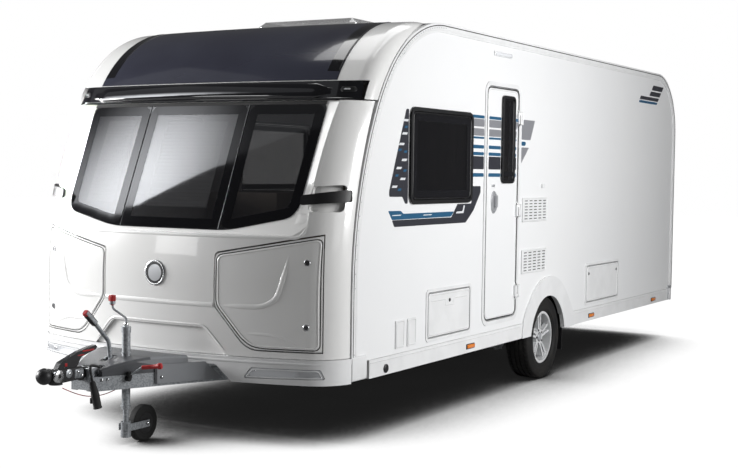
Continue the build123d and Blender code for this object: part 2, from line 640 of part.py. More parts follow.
with BuildPart() as chassis:
    add(both_sides(rail.part))
    for member_y in CROSS_MEMBERS:
        reach = AFRAME_X if member_y < aframe_join_y else RAIL_X
        with Locations((0, member_y, AFRAME_Z0 + 30)):
            Box(2 * reach - 4, 50, 50)
    with Locations((0, AXLE_Y - 170, 368)):
        Box(2 * RAIL_X - 2 * RAIL_T, 110, 30)
    with Locations(Location((0, AFRAME_Y + 18, SHAFT_Z), (90, 0, 0))):
        Cylinder(22, 70)
    with Locations((0, AFRAME_Y + 28, 410)):
        Box(2 * AFRAME_X - 40, 60, 120)
    with Locations((0, AFRAME_Y + 90, 415)):
        Box(70, 200, 18)
    for pivot_y in STEADY_PIVOTS.values():
        for side in (-1, 1):
            for cheek in (-27, 27):
                with Locations((side * STEADY_X + cheek, pivot_y, 385)):
                    Box(6, 80, 80)
            with Locations((side * STEADY_X, pivot_y, RAIL_TOP - 5)):
                Box(120, 80, 10)
out(chassis.part, "chassis")

AXLE_TUBE_Y, AXLE_TUBE_Z = AXLE_Y - 170, 266
HUB_X = 842
with BuildPart() as axle_tube:
    with BuildSketch(Plane.YZ.offset(-780)):
        with Locations((AXLE_TUBE_Y, AXLE_TUBE_Z)):
            RegularPolygon(44, 6)
    extrude(amount=1560)
    for side in (-1, 1):
        with Locations((side * (RAIL_X - 25), AXLE_TUBE_Y, 303)):
            Box(50, 130, 15)
with BuildPart() as arm:
    with BuildSketch(Plane.YZ.offset(779)):
        with Locations((AXLE_TUBE_Y, AXLE_TUBE_Z)):
            Circle(52)
        with Locations((AXLE_Y, TYRE_R)):
            Circle(40)
        with BuildLine():
            Polyline(
                (AXLE_TUBE_Y, AXLE_TUBE_Z - 48),
                (AXLE_Y, TYRE_R - 37),
                (AXLE_Y, TYRE_R + 37),
                (AXLE_TUBE_Y, AXLE_TUBE_Z + 48),
                close=True,
            )
        make_face()
    extrude(amount=42)
# hub spindles stand out of the arms; each drum runs on one of them
SPINDLE_R = 15
DRUM_X0 = 827
drum_steps = ((DRUM_X0, 118), (WHEEL_X - 55, 65), (WHEEL_X - 4.4, 32.5), (WHEEL_X + 18, None))
with BuildPart() as spindle:
    with Locations(Location((860, AXLE_Y, TYRE_R), (0, 90, 0))):
        Cylinder(SPINDLE_R, 80)
with BuildPart() as axle:
    add(axle_tube.part)
    add(both_sides(arm.part + spindle.part))
out(axle.part, "axle")

with BuildPart() as drum_left:
    for (x0, radius), (x1, _) in zip(drum_steps, drum_steps[1:]):
        with Locations(Location(((x0 + x1) / 2, AXLE_Y, TYRE_R), (0, 90, 0))):
            Cylinder(radius, x1 - x0)
    with Locations(Location((860, AXLE_Y, TYRE_R), (0, 90, 0))):
        Cylinder(SPINDLE_R + 0.05, 90, mode=Mode.SUBTRACT)
out(drum_left.part, "drum_left")

with BuildPart() as drum_right:
    add(mirror(drum_left.part, about=Plane.YZ))
out(drum_right.part, "drum_right")

# ---------------------------------------------------------------- road wheels
tread_half = TYRE_W / 2
axle_line = Plane(origin=(WHEEL_X, AXLE_Y, TYRE_R), x_dir=(0, 0, 1), z_dir=(0, -1, 0))
with BuildPart() as tyre_left:
    with BuildSketch(axle_line):
        with BuildLine():
            bead = Line((RIM_R + 1, -tread_half + 22), (RIM_R + 1, tread_half - 22))
            outer_wall = ThreePointArc(
                bead @ 1, (RIM_R + 55, tread_half), (TYRE_R - 22, tread_half - 9)
            )
            crown = ThreePointArc(
                outer_wall @ 1, (TYRE_R, 0), (TYRE_R - 22, 9 - tread_half)
            )
            ThreePointArc(crown @ 1, (RIM_R + 55, -tread_half), bead @ 0)
        make_face()
    revolve(axis=Axis((WHEEL_X, AXLE_Y, TYRE_R), (1, 0, 0)))
out(tyre_left.part, "tyre_left")

with BuildPart() as tyre_right:
    add(mirror(tyre_left.part, about=Plane.YZ))
out(tyre_right.part, "tyre_right")

SPOKES = 5
hub_plane = Plane(origin=(WHEEL_X + 20, AXLE_Y, TYRE_R), x_dir=(0, 1, 0), z_dir=(1, 0, 0))
with BuildPart() as rim_left:
    with BuildSketch(axle_line):
        with BuildLine():
            Polyline(
                (RIM_R, 24 - tread_half),
                (RIM_R, tread_half - 20),
                (RIM_R - 12, tread_half - 20),
                (RIM_R - 18, 20),
                (RIM_R - 18, 24 - tread_half),
                close=True,
            )
        make_face()
    revolve(axis=Axis((WHEEL_X, AXLE_Y, TYRE_R), (1, 0, 0)))
    with BuildSketch(hub_plane):
        Circle(62)
        with PolarLocations(0, SPOKES, start_angle=90):
            for spoke_side in (-1, 1):
                with Locations(Location((58, 13 * spoke_side), 6 * spoke_side)):
                    with Locations((64, 0)):
                        Rectangle(142, 17)
    extrude(amount=34)
    with BuildSketch(hub_plane.offset(-24)):
        Circle(72)
        Circle(33, mode=Mode.SUBTRACT)
    extrude(amount=24)
out(rim_left.part, "rim_left")

with BuildPart() as rim_right:
    add(mirror(rim_left.part, about=Plane.YZ))
out(rim_right.part, "rim_right")

# ---------------------------------------------------------------- side windows, door and hatches
WINDOW_PROUD = 12


def window_pane(y0, y1, z0, z1, side=1):
    """An acrylic pane standing proud of the wall, with its frame filling the opening."""
    with BuildPart() as pane:
        with BuildSketch(Plane.YZ.offset(HALF_W + 0.3)):
            with Locations(((y0 + y1) / 2, (z0 + z1) / 2)):
                RectangleRounded(y1 - y0, z1 - z0, 55)
        extrude(amount=WINDOW_PROUD)
        with BuildSketch(Plane.YZ.offset(HALF_W - 24)):
            with Locations(((y0 + y1) / 2, (z0 + z1) / 2)):
                RectangleRounded(y1 - y0 - 26, z1 - z0 - 26, 52)
                RectangleRounded(y1 - y0 - 70, z1 - z0 - 70, 30, mode=Mode.SUBTRACT)
        extrude(amount=26)
    return pane.part if side > 0 else mirror(pane.part, about=Plane.YZ)


with BuildPart() as cabin_windows:
    add(window_pane(*window_box))
    for window_size in (*WINDOWS_RIGHT.values(), WASHROOM_WINDOW):
        add(window_pane(*window_size, side=-1))
    add(rear_window.part)
out(cabin_windows.part, "cabin_windows")

def ring_plate(outer, outer_r, inner, inner_r, x0, x1):
    """A flat frame between two rounded rectangles, each given as (y0, y1, z0, z1)."""
    with BuildPart() as ring:
        add(side_plate(box_points(*outer), (outer_r,) * 4, x0, x1))
        add(side_plate(box_points(*inner), (inner_r,) * 4, x0 - 1, x1 + 1), mode=Mode.SUBTRACT)
    return ring.part


def hatch_frame(y0, y1, z0, z1, side=1):
    """The fixed frame round a hatch, flush inside and low outside."""
    opening = framed(y0, y1, z0, z1, HATCH_FRAME_W)
    with BuildPart() as frame:
        add(ring_plate((y0, y1, z0, z1), 34, opening, 22, HALF_W + 0.3, HALF_W + 5))
        add(ring_plate(framed(y0, y1, z0, z1, 8.5), 30, opening, 22, WALL_X0, HALF_W + 1))
        stop = framed(*opening, 16)
        add(ring_plate(framed(y0, y1, z0, z1, 8.5), 30, stop, 16, WALL_X0 - 6, WALL_X0))
    return frame.part if side > 0 else mirror(frame.part, about=Plane.YZ)


# door frame: a lining through the wall, a low flange outside and a stop behind the leaf
door_flange = framed(*door_box, -DOOR_FRAME_W + 8)
with BuildPart() as wall_frames:
    add(ring_plate(door_flange, 80, door_box, 62, HALF_W + 0.3, HALF_W + 6))
    add(ring_plate(framed(*door_hole, 0.5), 70, door_box, 62, WALL_X0 - 18, HALF_W + 1))
    add(ring_plate(framed(*door_hole, 0.5), 70, framed(*door_box, 22), 50, WALL_X0 - 18, WALL_X0 - 10))
    for hatch_box in HATCHES_LEFT.values():
        add(hatch_frame(*hatch_box))
    for hatch_box in (CASSETTE_HATCH, SERVICE_HATCH):
        add(hatch_frame(*hatch_box, side=-1))
out(wall_frames.part, "wall_frames")

door_leaf_box = (DOOR["y0"] + 1, DOOR["y1"] - 1, DOOR["z0"], DOOR["z1"])
DOOR_WINDOW = (-412, -192, 1495, 2112)
with BuildPart() as entrance_door:
    add(side_plate(box_points(*door_leaf_box), (58,) * 4, WALL_X0, HALF_W + 2))
    add(rounded_cut(*framed(*DOOR_WINDOW, 14), 30), mode=Mode.SUBTRACT)
    for hinge_z in (720, 1300, 1960):
        with Locations((DOOR_HINGE_X, DOOR_HINGE_Y, hinge_z)):
            Cylinder(9, 90)
        with Locations((DOOR_HINGE_X - 5, DOOR_HINGE_Y - 30, hinge_z)):
            Box(8, 60, 80)
        with Locations((DOOR_HINGE_X - 12, DOOR_HINGE_Y - 45, hinge_z)):
            Box(20, 32, 80)
    with BuildSketch(Plane.YZ.offset(HALF_W + 2)):
        with Locations((-519, 1365)):
            RectangleRounded(74, 124, 24)
    extrude(amount=10)
    with BuildSketch(Plane.YZ.offset(HALF_W + 12)):
        with Locations((-519, 1372)):
            RectangleRounded(30, 86, 14)
    extrude(amount=18)
out(entrance_door.part, "entrance_door")

with BuildPart() as door_window:
    add(side_plate(box_points(*DOOR_WINDOW), (38,) * 4, HALF_W + 2.3, HALF_W + 12))
    add(side_plate(box_points(*framed(*DOOR_WINDOW, 16)), (28,) * 4, HALF_W - 14, HALF_W + 3))
out(door_window.part, "door_window")

def hatch_lid(y0, y1, z0, z1, side=1):
    """The lid that fills a hatch frame with a shut line all round."""
    lid_box = framed(y0, y1, z0, z1, HATCH_FRAME_W + GAP)
    with BuildPart() as lid:
        add(side_plate(box_points(*lid_box), (18,) * 4, WALL_X0 + 7, HALF_W + 4))
    return lid.part if side > 0 else mirror(lid.part, about=Plane.YZ)


with BuildPart() as hatch_front:
    add(hatch_lid(*HATCHES_LEFT["front"]))
out(hatch_front.part, "hatch_front")

with BuildPart() as hatch_rear:
    add(hatch_lid(*HATCHES_LEFT["rear"]))
out(hatch_rear.part, "hatch_rear")

with BuildPart() as hatch_cassette:
    add(hatch_lid(*CASSETTE_HATCH, side=-1))
out(hatch_cassette.part, "hatch_cassette")

with BuildPart() as hatch_service:
    add(hatch_lid(*SERVICE_HATCH, side=-1))
out(hatch_service.part, "hatch_service")

# ventilation grilles on the left wall
VENT_Y = (-22, 441)
VENT_Z = ((1212, 1392), (832, 1011))
with BuildPart() as wall_vents:
    for vent_low, vent_high in VENT_Z:
        with BuildSketch(Plane.YZ.offset(HALF_W + 0.3)):
            with Locations((sum(VENT_Y) / 2, (vent_low + vent_high) / 2)):
                RectangleRounded(VENT_Y[1] - VENT_Y[0], vent_high - vent_low, 14)
        extrude(amount=9)
    for narrow_y in (-1837, -1688):
        with BuildSketch(Plane.YZ.offset(HALF_W + 0.3)):
            with Locations((narrow_y, 583)):
                RectangleRounded(110, 172, 10)
        extrude(amount=6)
out(wall_vents.part, "wall_vents")

# ---------------------------------------------------------------- nose fittings
GRAB_PROUD = 20
bar_ends = ((900, 1372), (1126, 1392), (1126, 1462), (900, 1428))
grab_skin = nose_solid(-GRAB_PROUD, GRAB_LOW - 30, GRAB_HIGH + 30, CORNER_R + GRAB_PROUD)
grab_bar = (grab_skin - lower_base) & front_cutter(bar_ends, (14,) * 4, y1=-2400)
with BuildPart() as grab_handles:
    add(both_sides(grab_bar))
out(grab_handles.part, "grab_handles")

# front locker box behind the lids, with the bulkhead that closes the nose off from the cabin
LOCKER_Z0, LOCKER_Z1 = 470, 1120
BULKHEAD_Y = SEAM_Y - 20
with BuildPart() as front_locker:
    with Locations((0, BULKHEAD_Y, (LOCKER_Z0 + LOCKER_Z1) / 2)):
        Box(2 * 1085, 12, LOCKER_Z1 - LOCKER_Z0)
    for wall_x in (-388, 388):
        with Locations((wall_x, BULKHEAD_Y - 160, (LOCKER_Z0 + LOCKER_Z1) / 2)):
            Box(10, 320, LOCKER_Z1 - LOCKER_Z0)
    for level in (LOCKER_Z0 + 5, LOCKER_Z1 - 5):
        with Locations((0, BULKHEAD_Y - 130, level)):
            Box(2 * 1085, 260, 10)
    add(nose_solid(40, 300, 1400, CORNER_R - 40), mode=Mode.INTERSECT)
out(front_locker.part, "front_locker")

# seats, chest and tall units, as far as they show through the windows
with BuildPart() as cabin_furniture:
    for side in (-1, 1):
        with Locations((side * 760, -1640, 640)):
            Box(640, 1360, 340)
        with Locations((side * 1010, -1640, 990)):
            Box(140, 1360, 350)
    with Locations((0, -2180, 690)):
        Box(840, 360, 440)
    with Locations((-760, -420, 935)):
        Box(640, 920, 930)
    with Locations((760, 1400, 1450)):
        Box(640, 900, 1960)
    with Locations((0, 2100, 1450)):
        Box(1900, 30, 1960)
out(cabin_furniture.part, "cabin_furniture")

# ---------------------------------------------------------------- drawbar
BALL_Y, BALL_Z = TIP_Y + 130, 440
BALL_R = 25
with BuildPart() as coupling_head:
    with BuildSketch(Plane.XY.offset(BALL_Z - 22)):
        with BuildLine():
            FilletPolyline(
                (-30, TIP_Y + 62), (-44, BALL_Y), (-38, BALL_Y + 60), (-30, BALL_Y + 182),
                (30, BALL_Y + 182), (38, BALL_Y + 60), (44, BALL_Y), (30, TIP_Y + 62),
                radius=(18, 20, 30, 6, 6, 30, 20, 18), close=True,
            )
        make_face()
    extrude(amount=70)
    fillet(coupling_head.faces().sort_by(Axis.Z)[-1].edges(), radius=16)
    with Locations((0, TIP_Y + 44, BALL_Z + 20)):
        Sphere(44)
    with Locations(Location((0, BALL_Y - 34, BALL_Z + 20), (0, 90, 0))):
        Cylinder(34, 108)
    fillet(
        coupling_head.edges().filter_by(GeomType.CIRCLE).filter_by(lambda e: abs(e.center().X) > 50),
        radius=10,
    )
    with Locations((0, BALL_Y, BALL_Z - 14)):
        Cylinder(36, 40)
    with Locations((0, BALL_Y, BALL_Z - 40)):
        Cylinder(BALL_R + 0.3, 80, mode=Mode.SUBTRACT)
    with Locations((0, BALL_Y, BALL_Z)):
        Sphere(BALL_R + 0.3, mode=Mode.SUBTRACT)
    with Locations((0, TIP_Y + 56, BALL_Z - 80)):
        Box(200, 200, 60, mode=Mode.SUBTRACT)
    with BuildSketch(Plane.YZ.offset(-16)):
        with BuildLine():
            FilletPolyline(
                (BALL_Y - 10, 480), (BALL_Y + 20, 522), (-3420, 566), (-3290, 590), (-3275, 578),
                (-3285, 566), (-3400, 536), (-3440, 480),
                radius=(6, 24, 60, 5, 4, 16, 16, 6), close=True,
            )
        make_face()
    extrude(amount=32)
out(coupling_head.part, "coupling_head")

# drawbar cover: a wedge-shaped plastic hood over the drawbar, notched for lever and jockey tube
COVER_Y0, COVER_Y1 = -3330, -2860
COVER_Z0, COVER_Z1 = AFRAME_Z1 + 1, 512
JOCKEY_X, JOCKEY_Y = 62, -3090
cover_half0 = AFRAME_X + (COVER_Y0 - AFRAME_Y) * aframe_slope
cover_half1 = AFRAME_X + (COVER_Y1 - AFRAME_Y) * aframe_slope
with BuildPart() as hood:
    with BuildSketch(Plane.XY.offset(COVER_Z0)):
        with BuildLine():
            Polyline(
                (-cover_half0, COVER_Y0),
                (cover_half0, COVER_Y0),
                (cover_half1, COVER_Y1),
                (-cover_half1, COVER_Y1),
                close=True,
            )
        make_face()
    extrude(amount=COVER_Z1 - COVER_Z0)
    with BuildSketch(Plane.YZ.offset(-400)):
        with BuildLine():
            front_top = Line((COVER_Y0 - 1, COVER_Z1 + 40), (COVER_Y0 - 1, COVER_Z0 + 38))
            crown = ThreePointArc(
                front_top @ 1, (COVER_Y0 + 200, COVER_Z1 - 6), (COVER_Y1 + 1, COVER_Z1 - 6)
            )
            Polyline(crown @ 1, (COVER_Y1 + 1, COVER_Z1 + 40), front_top @ 0)
        make_face()
    extrude(amount=800, mode=Mode.SUBTRACT)
    side_edges = hood.faces().sort_by(Axis.Z)[-1].edges()
    fillet(side_edges.filter_by(lambda e: abs(e.center().X) > 40), radius=14)
    cover_lid = hood.faces().sort_by(Axis.Z)[0]
    offset(amount=-4, openings=cover_lid)
    with Locations((JOCKEY_X, JOCKEY_Y, 470)):
        Cylinder(27, 200, mode=Mode.SUBTRACT)
    with Locations((0, -3165, 500)):
        Box(40, 110, 60, mode=Mode.SUBTRACT)
    with Locations((57, COVER_Y0 + 20, 470)):
        Box(40, 60, 60, mode=Mode.SUBTRACT)
    with Locations((0, COVER_Y0 + 20, 440)):
        Box(124, 60, 62, mode=Mode.SUBTRACT)

# side fairings beside the drawbar, running back under the nose
FAIRING_OFF = 6
fair_y0, fair_y1 = -3050, -2600


def aframe_x(y, off=0):
    """Distance of the drawbar's outer face from the centre plane at a given y."""
    return AFRAME_X + (y - AFRAME_Y) * aframe_slope + off


with BuildPart() as fairing:
    with BuildSketch(Plane.XY.offset(360)):
        with BuildLine():
            Polyline(
                (aframe_x(fair_y0, FAIRING_OFF), fair_y0),
                (aframe_x(fair_y0, FAIRING_OFF + 14), fair_y0 + 4),
                (aframe_x(fair_y1, FAIRING_OFF + 14), fair_y1),
                (aframe_x(fair_y1, FAIRING_OFF), fair_y1),
                close=True,
            )
        make_face()
    extrude(amount=106)
    with BuildSketch(Plane.YZ.offset(-800)):
        with BuildLine():
            Polyline((-2790, 480), (-2660, 350), (-2500, 350), (-2500, 480), close=True)
        make_face()
    extrude(amount=1600, mode=Mode.SUBTRACT)
with BuildPart() as drawbar_covers:
    add(hood.part)
    add(both_sides(fairing.part))
out(drawbar_covers.part, "drawbar_covers")

# handbrake lever: a bent steel tube with a grip
lever_path = ((0, -3150, 452), (0, -3167, 596), (0, -3270, 697), (0, -3341, 761))
with BuildPart() as handbrake_lever:
    with BuildLine() as lever_line:
        FilletPolyline(*lever_path, radius=70)
    with BuildSketch(Plane(origin=lever_line.line @ 0, z_dir=lever_line.line % 0)):
        Circle(12)
    sweep(path=lever_line.line)
    with Locations((0, -3150, 448)):
        Box(14, 90, 36)
    grip_dir = Vector(0, -71, 64).normalized()
    with BuildSketch(Plane(origin=(0, -3281, 707), z_dir=grip_dir)):
        RectangleRounded(28, 34, 9)
    extrude(amount=100)
out(handbrake_lever.part, "handbrake_lever")

# ---------------------------------------------------------------- jockey wheel
JOCKEY_TUBE_R, JOCKEY_BORE_R, JOCKEY_STEM_R = 24, 22, 17
TUBE_Z0, TUBE_Z1 = 205, 662
CASTER_R, CASTER_W, CASTER_TRAIL = 105, 52, 145
CASTER_Y = JOCKEY_Y + CASTER_TRAIL
with BuildPart() as outer_tube:
    with Locations((JOCKEY_X, JOCKEY_Y, (TUBE_Z0 + TUBE_Z1) / 2)):
        Cylinder(JOCKEY_TUBE_R, TUBE_Z1 - TUBE_Z0)
    with Locations((JOCKEY_X, JOCKEY_Y, (TUBE_Z0 + TUBE_Z1) / 2 - 20)):
        Cylinder(JOCKEY_BORE_R, TUBE_Z1 - TUBE_Z0, mode=Mode.SUBTRACT)
    with Locations((JOCKEY_X, JOCKEY_Y, TUBE_Z1 - 4)):
        Cylinder(27, 24)

clamp_path = ((aframe_x(-3200, 4), -3200, 414), (246, -3172, 468), (346, -3141, 481))
crank_path = (
    (JOCKEY_X, JOCKEY_Y, TUBE_Z1 + 8),
    (JOCKEY_X, JOCKEY_Y, 722),
    (JOCKEY_X - 6, -3196, 786),
    (JOCKEY_X - 6, -3200, 822),
)
with BuildPart() as jockey_tube:
    add(outer_tube.part)
    with Locations((JOCKEY_X, JOCKEY_Y, 385)):
        Box(86, 66, 64)
    with Locations((132, JOCKEY_Y, 385)):
        Box(92, 40, 40)
    add(chassis.part, mode=Mode.SUBTRACT)
    with Locations((JOCKEY_X, JOCKEY_Y, 385)):
        Cylinder(JOCKEY_BORE_R, 90, mode=Mode.SUBTRACT)
    with BuildLine() as crank_line:
        FilletPolyline(*crank_path, radius=22)
    with BuildSketch(Plane(origin=crank_line.line @ 0, z_dir=crank_line.line % 0)):
        Circle(6)
    sweep(path=crank_line.line)
    with Locations((JOCKEY_X - 6, -3200, 834)):
        Cylinder(17, 48)
    with BuildLine() as clamp_line:
        FilletPolyline(*clamp_path, radius=20)
    with BuildSketch(Plane(origin=clamp_line.line @ 0, z_dir=clamp_line.line % 0)):
        Circle(6)
    sweep(path=clamp_line.line)
    grip_run = Vector(clamp_path[2]) - Vector(clamp_path[1])
    with BuildSketch(Plane(origin=clamp_path[1], z_dir=grip_run)):
        Circle(11)
    extrude(amount=grip_run.length)
out(jockey_tube.part, "jockey_tube")

with BuildPart() as jockey_stem:
    with Locations((JOCKEY_X, JOCKEY_Y, 290)):
        Cylinder(JOCKEY_STEM_R, 460)
out(jockey_stem.part, "jockey_stem")

# the fork turns on the stem's foot and carries the wheel behind it
with BuildPart() as jockey_fork:
    with Locations((JOCKEY_X, JOCKEY_Y, 90)):
        Cylinder(29, 88)
    with Locations((JOCKEY_X, JOCKEY_Y, 104)):
        Box(66, 20, 30)
    with Locations((JOCKEY_X, JOCKEY_Y, 100)):
        Cylinder(JOCKEY_STEM_R + 5.5, 92, mode=Mode.SUBTRACT)
    for strap_side in (-1, 1):
        with Locations((JOCKEY_X + strap_side * 33, (JOCKEY_Y + CASTER_Y) / 2, 104)):
            Box(6, CASTER_TRAIL + 40, 40)
    with Locations(Location((JOCKEY_X, CASTER_Y, CASTER_R), (0, 90, 0))):
        Cylinder(8, 74)
out(jockey_fork.part, "jockey_fork")

with BuildPart() as jockey_wheel:
    with Locations(Location((JOCKEY_X, CASTER_Y, CASTER_R), (0, 90, 0))):
        Cylinder(CASTER_R, CASTER_W - 4)
        Cylinder(8.05, CASTER_W + 4, mode=Mode.SUBTRACT)
    rims = jockey_wheel.edges().filter_by(GeomType.CIRCLE).sort_by(lambda e: -e.radius)[:2]
    fillet(rims, radius=12)
out(jockey_wheel.part, "jockey_wheel")

# ---------------------------------------------------------------- rooflights, steadies, flaps
ROOFLIGHT_RIM = 34
with BuildPart() as roof_fittings:
    for light_x, light_y, light_w, light_l in ROOFLIGHTS.values():
        with BuildSketch(Plane.XY.offset(ROOF_Z)):
            with Locations((light_x, light_y)):
                RectangleRounded(light_w, light_l, 50)
                offset(amount=-ROOFLIGHT_RIM, mode=Mode.SUBTRACT)
        extrude(amount=44)
    with Locations((-900, -960, ROOF_Z + 35)):
        Cylinder(70, 70)
    with Locations((-720, 2700, ROOF_Z + 20)):
        Cylinder(60, 40)
    with Locations((640, 900, ROOF_Z + 25)):
        Cylinder(65, 50)
out(roof_fittings.part, "roof_fittings")


def rooflight_lid(light_x, light_y, light_w, light_l):
    """A tinted lid that sits over a rooflight frame."""
    with BuildPart() as lid:
        with BuildSketch(Plane.XY.offset(ROOF_Z + 50)):
            with Locations((light_x, light_y)):
                RectangleRounded(light_w - 16, light_l - 16, 50)
        extrude(amount=48)
        chamfer(lid.faces().sort_by(Axis.Z)[-1].edges(), length=34, length2=46)
    return lid.part


with BuildPart() as rooflight_lid_front:
    add(rooflight_lid(*ROOFLIGHTS["front"]))
out(rooflight_lid_front.part, "rooflight_lid_front")

with BuildPart() as rooflight_lid_rear:
    add(rooflight_lid(*ROOFLIGHTS["rear"]))
out(rooflight_lid_rear.part, "rooflight_lid_rear")

def steady(side, pivot_y, toward):
    """A folded corner leg with its foot plate; toward is the way the leg points."""
    x = side * STEADY_X
    with BuildPart() as leg:
        with Locations((x, pivot_y + toward * STEADY_LEG / 2, STEADY_Z)):
            Box(32, STEADY_LEG, 26)
        with Locations((x, pivot_y + toward * (STEADY_LEG - 20), STEADY_Z - 16)):
            Box(90, 90, 8)
    return leg.part


with BuildPart() as steady_front_left:
    add(steady(1, STEADY_PIVOTS["front"], 1))
out(steady_front_left.part, "steady_front_left")

with BuildPart() as steady_front_right:
    add(steady(-1, STEADY_PIVOTS["front"], 1))
out(steady_front_right.part, "steady_front_right")

with BuildPart() as steady_rear_left:
    add(steady(1, STEADY_PIVOTS["rear"], -1))
out(steady_rear_left.part, "steady_rear_left")

with BuildPart() as steady_rear_right:
    add(steady(-1, STEADY_PIVOTS["rear"], -1))
out(steady_rear_right.part, "steady_rear_right")

# ---------------------------------------------------------------- cords
CABLE_R, BREAKAWAY_R = 6.5, 2.5
cable_route = ((52, -3300, 470), (68, -3380, 496), (108, -3436, 486), (119, -3424, 404))
cable_bends = (38, 38)
breakaway_route = ((14, -2990, 352), (20, -3130, 312), (22, -3290, 300), (20, -3430, 328), (14, -3545, 384))
breakaway_bends = (180, 200, 180)


def cord(route, bends, cord_r):
    """Sweeps a round cord along straight runs joined by tangent arcs."""
    with BuildPart() as tube:
        with BuildLine() as line:
            FilletPolyline(*route, radius=bends)
        with BuildSketch(Plane(origin=line.line @ 0, z_dir=line.line % 0)):
            Circle(cord_r)
        sweep(path=line.line)
    return tube.part


with BuildPart() as road_cable:
    add(cord(cable_route, cable_bends, CABLE_R))
out(road_cable.part, "road_cable")

plug_top, plug_tip = Vector(119.2, -3423.6, 402), Vector(133, -3399, 266)
plug_dir = (plug_tip - plug_top).normalized()
with BuildPart() as cable_plug:
    with BuildSketch(Plane(origin=plug_top, z_dir=plug_dir)):
        Circle(14)
    with BuildSketch(Plane(origin=plug_top + plug_dir * 60, z_dir=plug_dir)):
        Circle(22)
    loft()
    with BuildSketch(Plane(origin=plug_top + plug_dir * 60, z_dir=plug_dir)):
        Circle(22)
    extrude(amount=(plug_tip - plug_top).length - 60)
out(cable_plug.part, "cable_plug")

with BuildPart() as breakaway_cable:
    add(cord(breakaway_route, breakaway_bends, BREAKAWAY_R))
out(breakaway_cable.part, "breakaway_cable")
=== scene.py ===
"""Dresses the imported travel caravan: finishes, trim, glass, cords, light and camera."""

import logging
import math
from dataclasses import dataclass
from enum import Enum
from typing import Callable, Sequence

import bmesh
import bpy
from mathutils import Matrix, Vector
from mathutils.bvhtree import BVHTree


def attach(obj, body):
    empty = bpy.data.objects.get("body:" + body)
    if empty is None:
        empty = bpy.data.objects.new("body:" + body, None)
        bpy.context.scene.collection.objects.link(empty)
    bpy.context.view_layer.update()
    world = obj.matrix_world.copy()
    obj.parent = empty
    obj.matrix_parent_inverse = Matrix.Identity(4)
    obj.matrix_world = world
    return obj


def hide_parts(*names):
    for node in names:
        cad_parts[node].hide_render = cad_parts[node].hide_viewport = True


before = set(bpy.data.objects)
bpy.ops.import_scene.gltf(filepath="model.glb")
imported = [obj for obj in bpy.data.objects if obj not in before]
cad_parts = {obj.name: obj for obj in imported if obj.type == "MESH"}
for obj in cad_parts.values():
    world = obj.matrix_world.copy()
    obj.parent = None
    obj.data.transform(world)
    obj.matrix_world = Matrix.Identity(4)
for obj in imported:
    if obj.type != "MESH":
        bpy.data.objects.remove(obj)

log = logging.getLogger("caravan")
logging.basicConfig(level=logging.INFO, format="%(name)s: %(message)s")

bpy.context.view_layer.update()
Color = tuple[float, float, float]
Point = tuple[float, float, float]
SIDES = ((1, "left"), (-1, "right"))
POINT_RADIUS, WELD = 1e-5, 1e-6  # metres
CORNER_STEPS = 6
FADED = 0.06  # a strip's size where it sinks in
INTO_NOSE, INTO_REAR, DOWN, INTO_LEFT = (0, 1, 0), (0, -1, 0), (0, 0, -1), (-1, 0, 0)


# ---------------------------------------------------------------- shader graphs
class Sock:
    """A value or colour socket of a shader graph, with the usual operators."""

    def __init__(self, graph: "Graph", socket: bpy.types.NodeSocket) -> None:
        """Keeps the socket with its graph.

        Args:
            graph: the graph that holds the socket's node.
            socket: the output socket.
        """
        self.graph = graph
        self.socket = socket

    def __add__(self, other: "Sock | float") -> "Sock":
        """Adds."""
        return self.graph.math("ADD", self, other)

    __radd__ = __add__

    def __sub__(self, other: "Sock | float") -> "Sock":
        """Subtracts."""
        return self.graph.math("SUBTRACT", self, other)

    def __rsub__(self, other: "Sock | float") -> "Sock":
        """Subtracts from a number."""
        return self.graph.math("SUBTRACT", other, self)

    def __mul__(self, other: "Sock | float") -> "Sock":
        """Multiplies."""
        return self.graph.math("MULTIPLY", self, other)

    __rmul__ = __mul__

    def __truediv__(self, other: "Sock | float") -> "Sock":
        """Divides."""
        return self.graph.math("DIVIDE", self, other)

    def __rtruediv__(self, other: "Sock | float") -> "Sock":
        """Divides a number."""
        return self.graph.math("DIVIDE", other, self)

    def __pow__(self, other: "Sock | float") -> "Sock":
        """Raises to a power."""
        return self.graph.math("POWER", self, other)

    def __rpow__(self, other: "Sock | float") -> "Sock":
        """Raises a number to this power."""
        return self.graph.math("POWER", other, self)

    def sine(self) -> "Sock":
        """Takes the sine."""
        return self.graph.math("SINE", self)

    def ramp(self, low: float, high: float, to_low: float = 0.0, to_high: float = 1.0) -> "Sock":
        """Maps low..high smoothly to to_low..to_high and holds the ends.

        Args:
            low: the value that gives to_low.
            high: the value that gives to_high.
            to_low: the result at low.
            to_high: the result at high.

        Returns:
            The mapped value.
        """
        node = self.graph.node(
            "ShaderNodeMapRange",
            {"interpolation_type": "SMOOTHSTEP"},
            {"Value": self, "From Min": low, "From Max": high, "To Min": to_low, "To Max": to_high},
        )
        return Sock(self.graph, node.outputs["Result"])


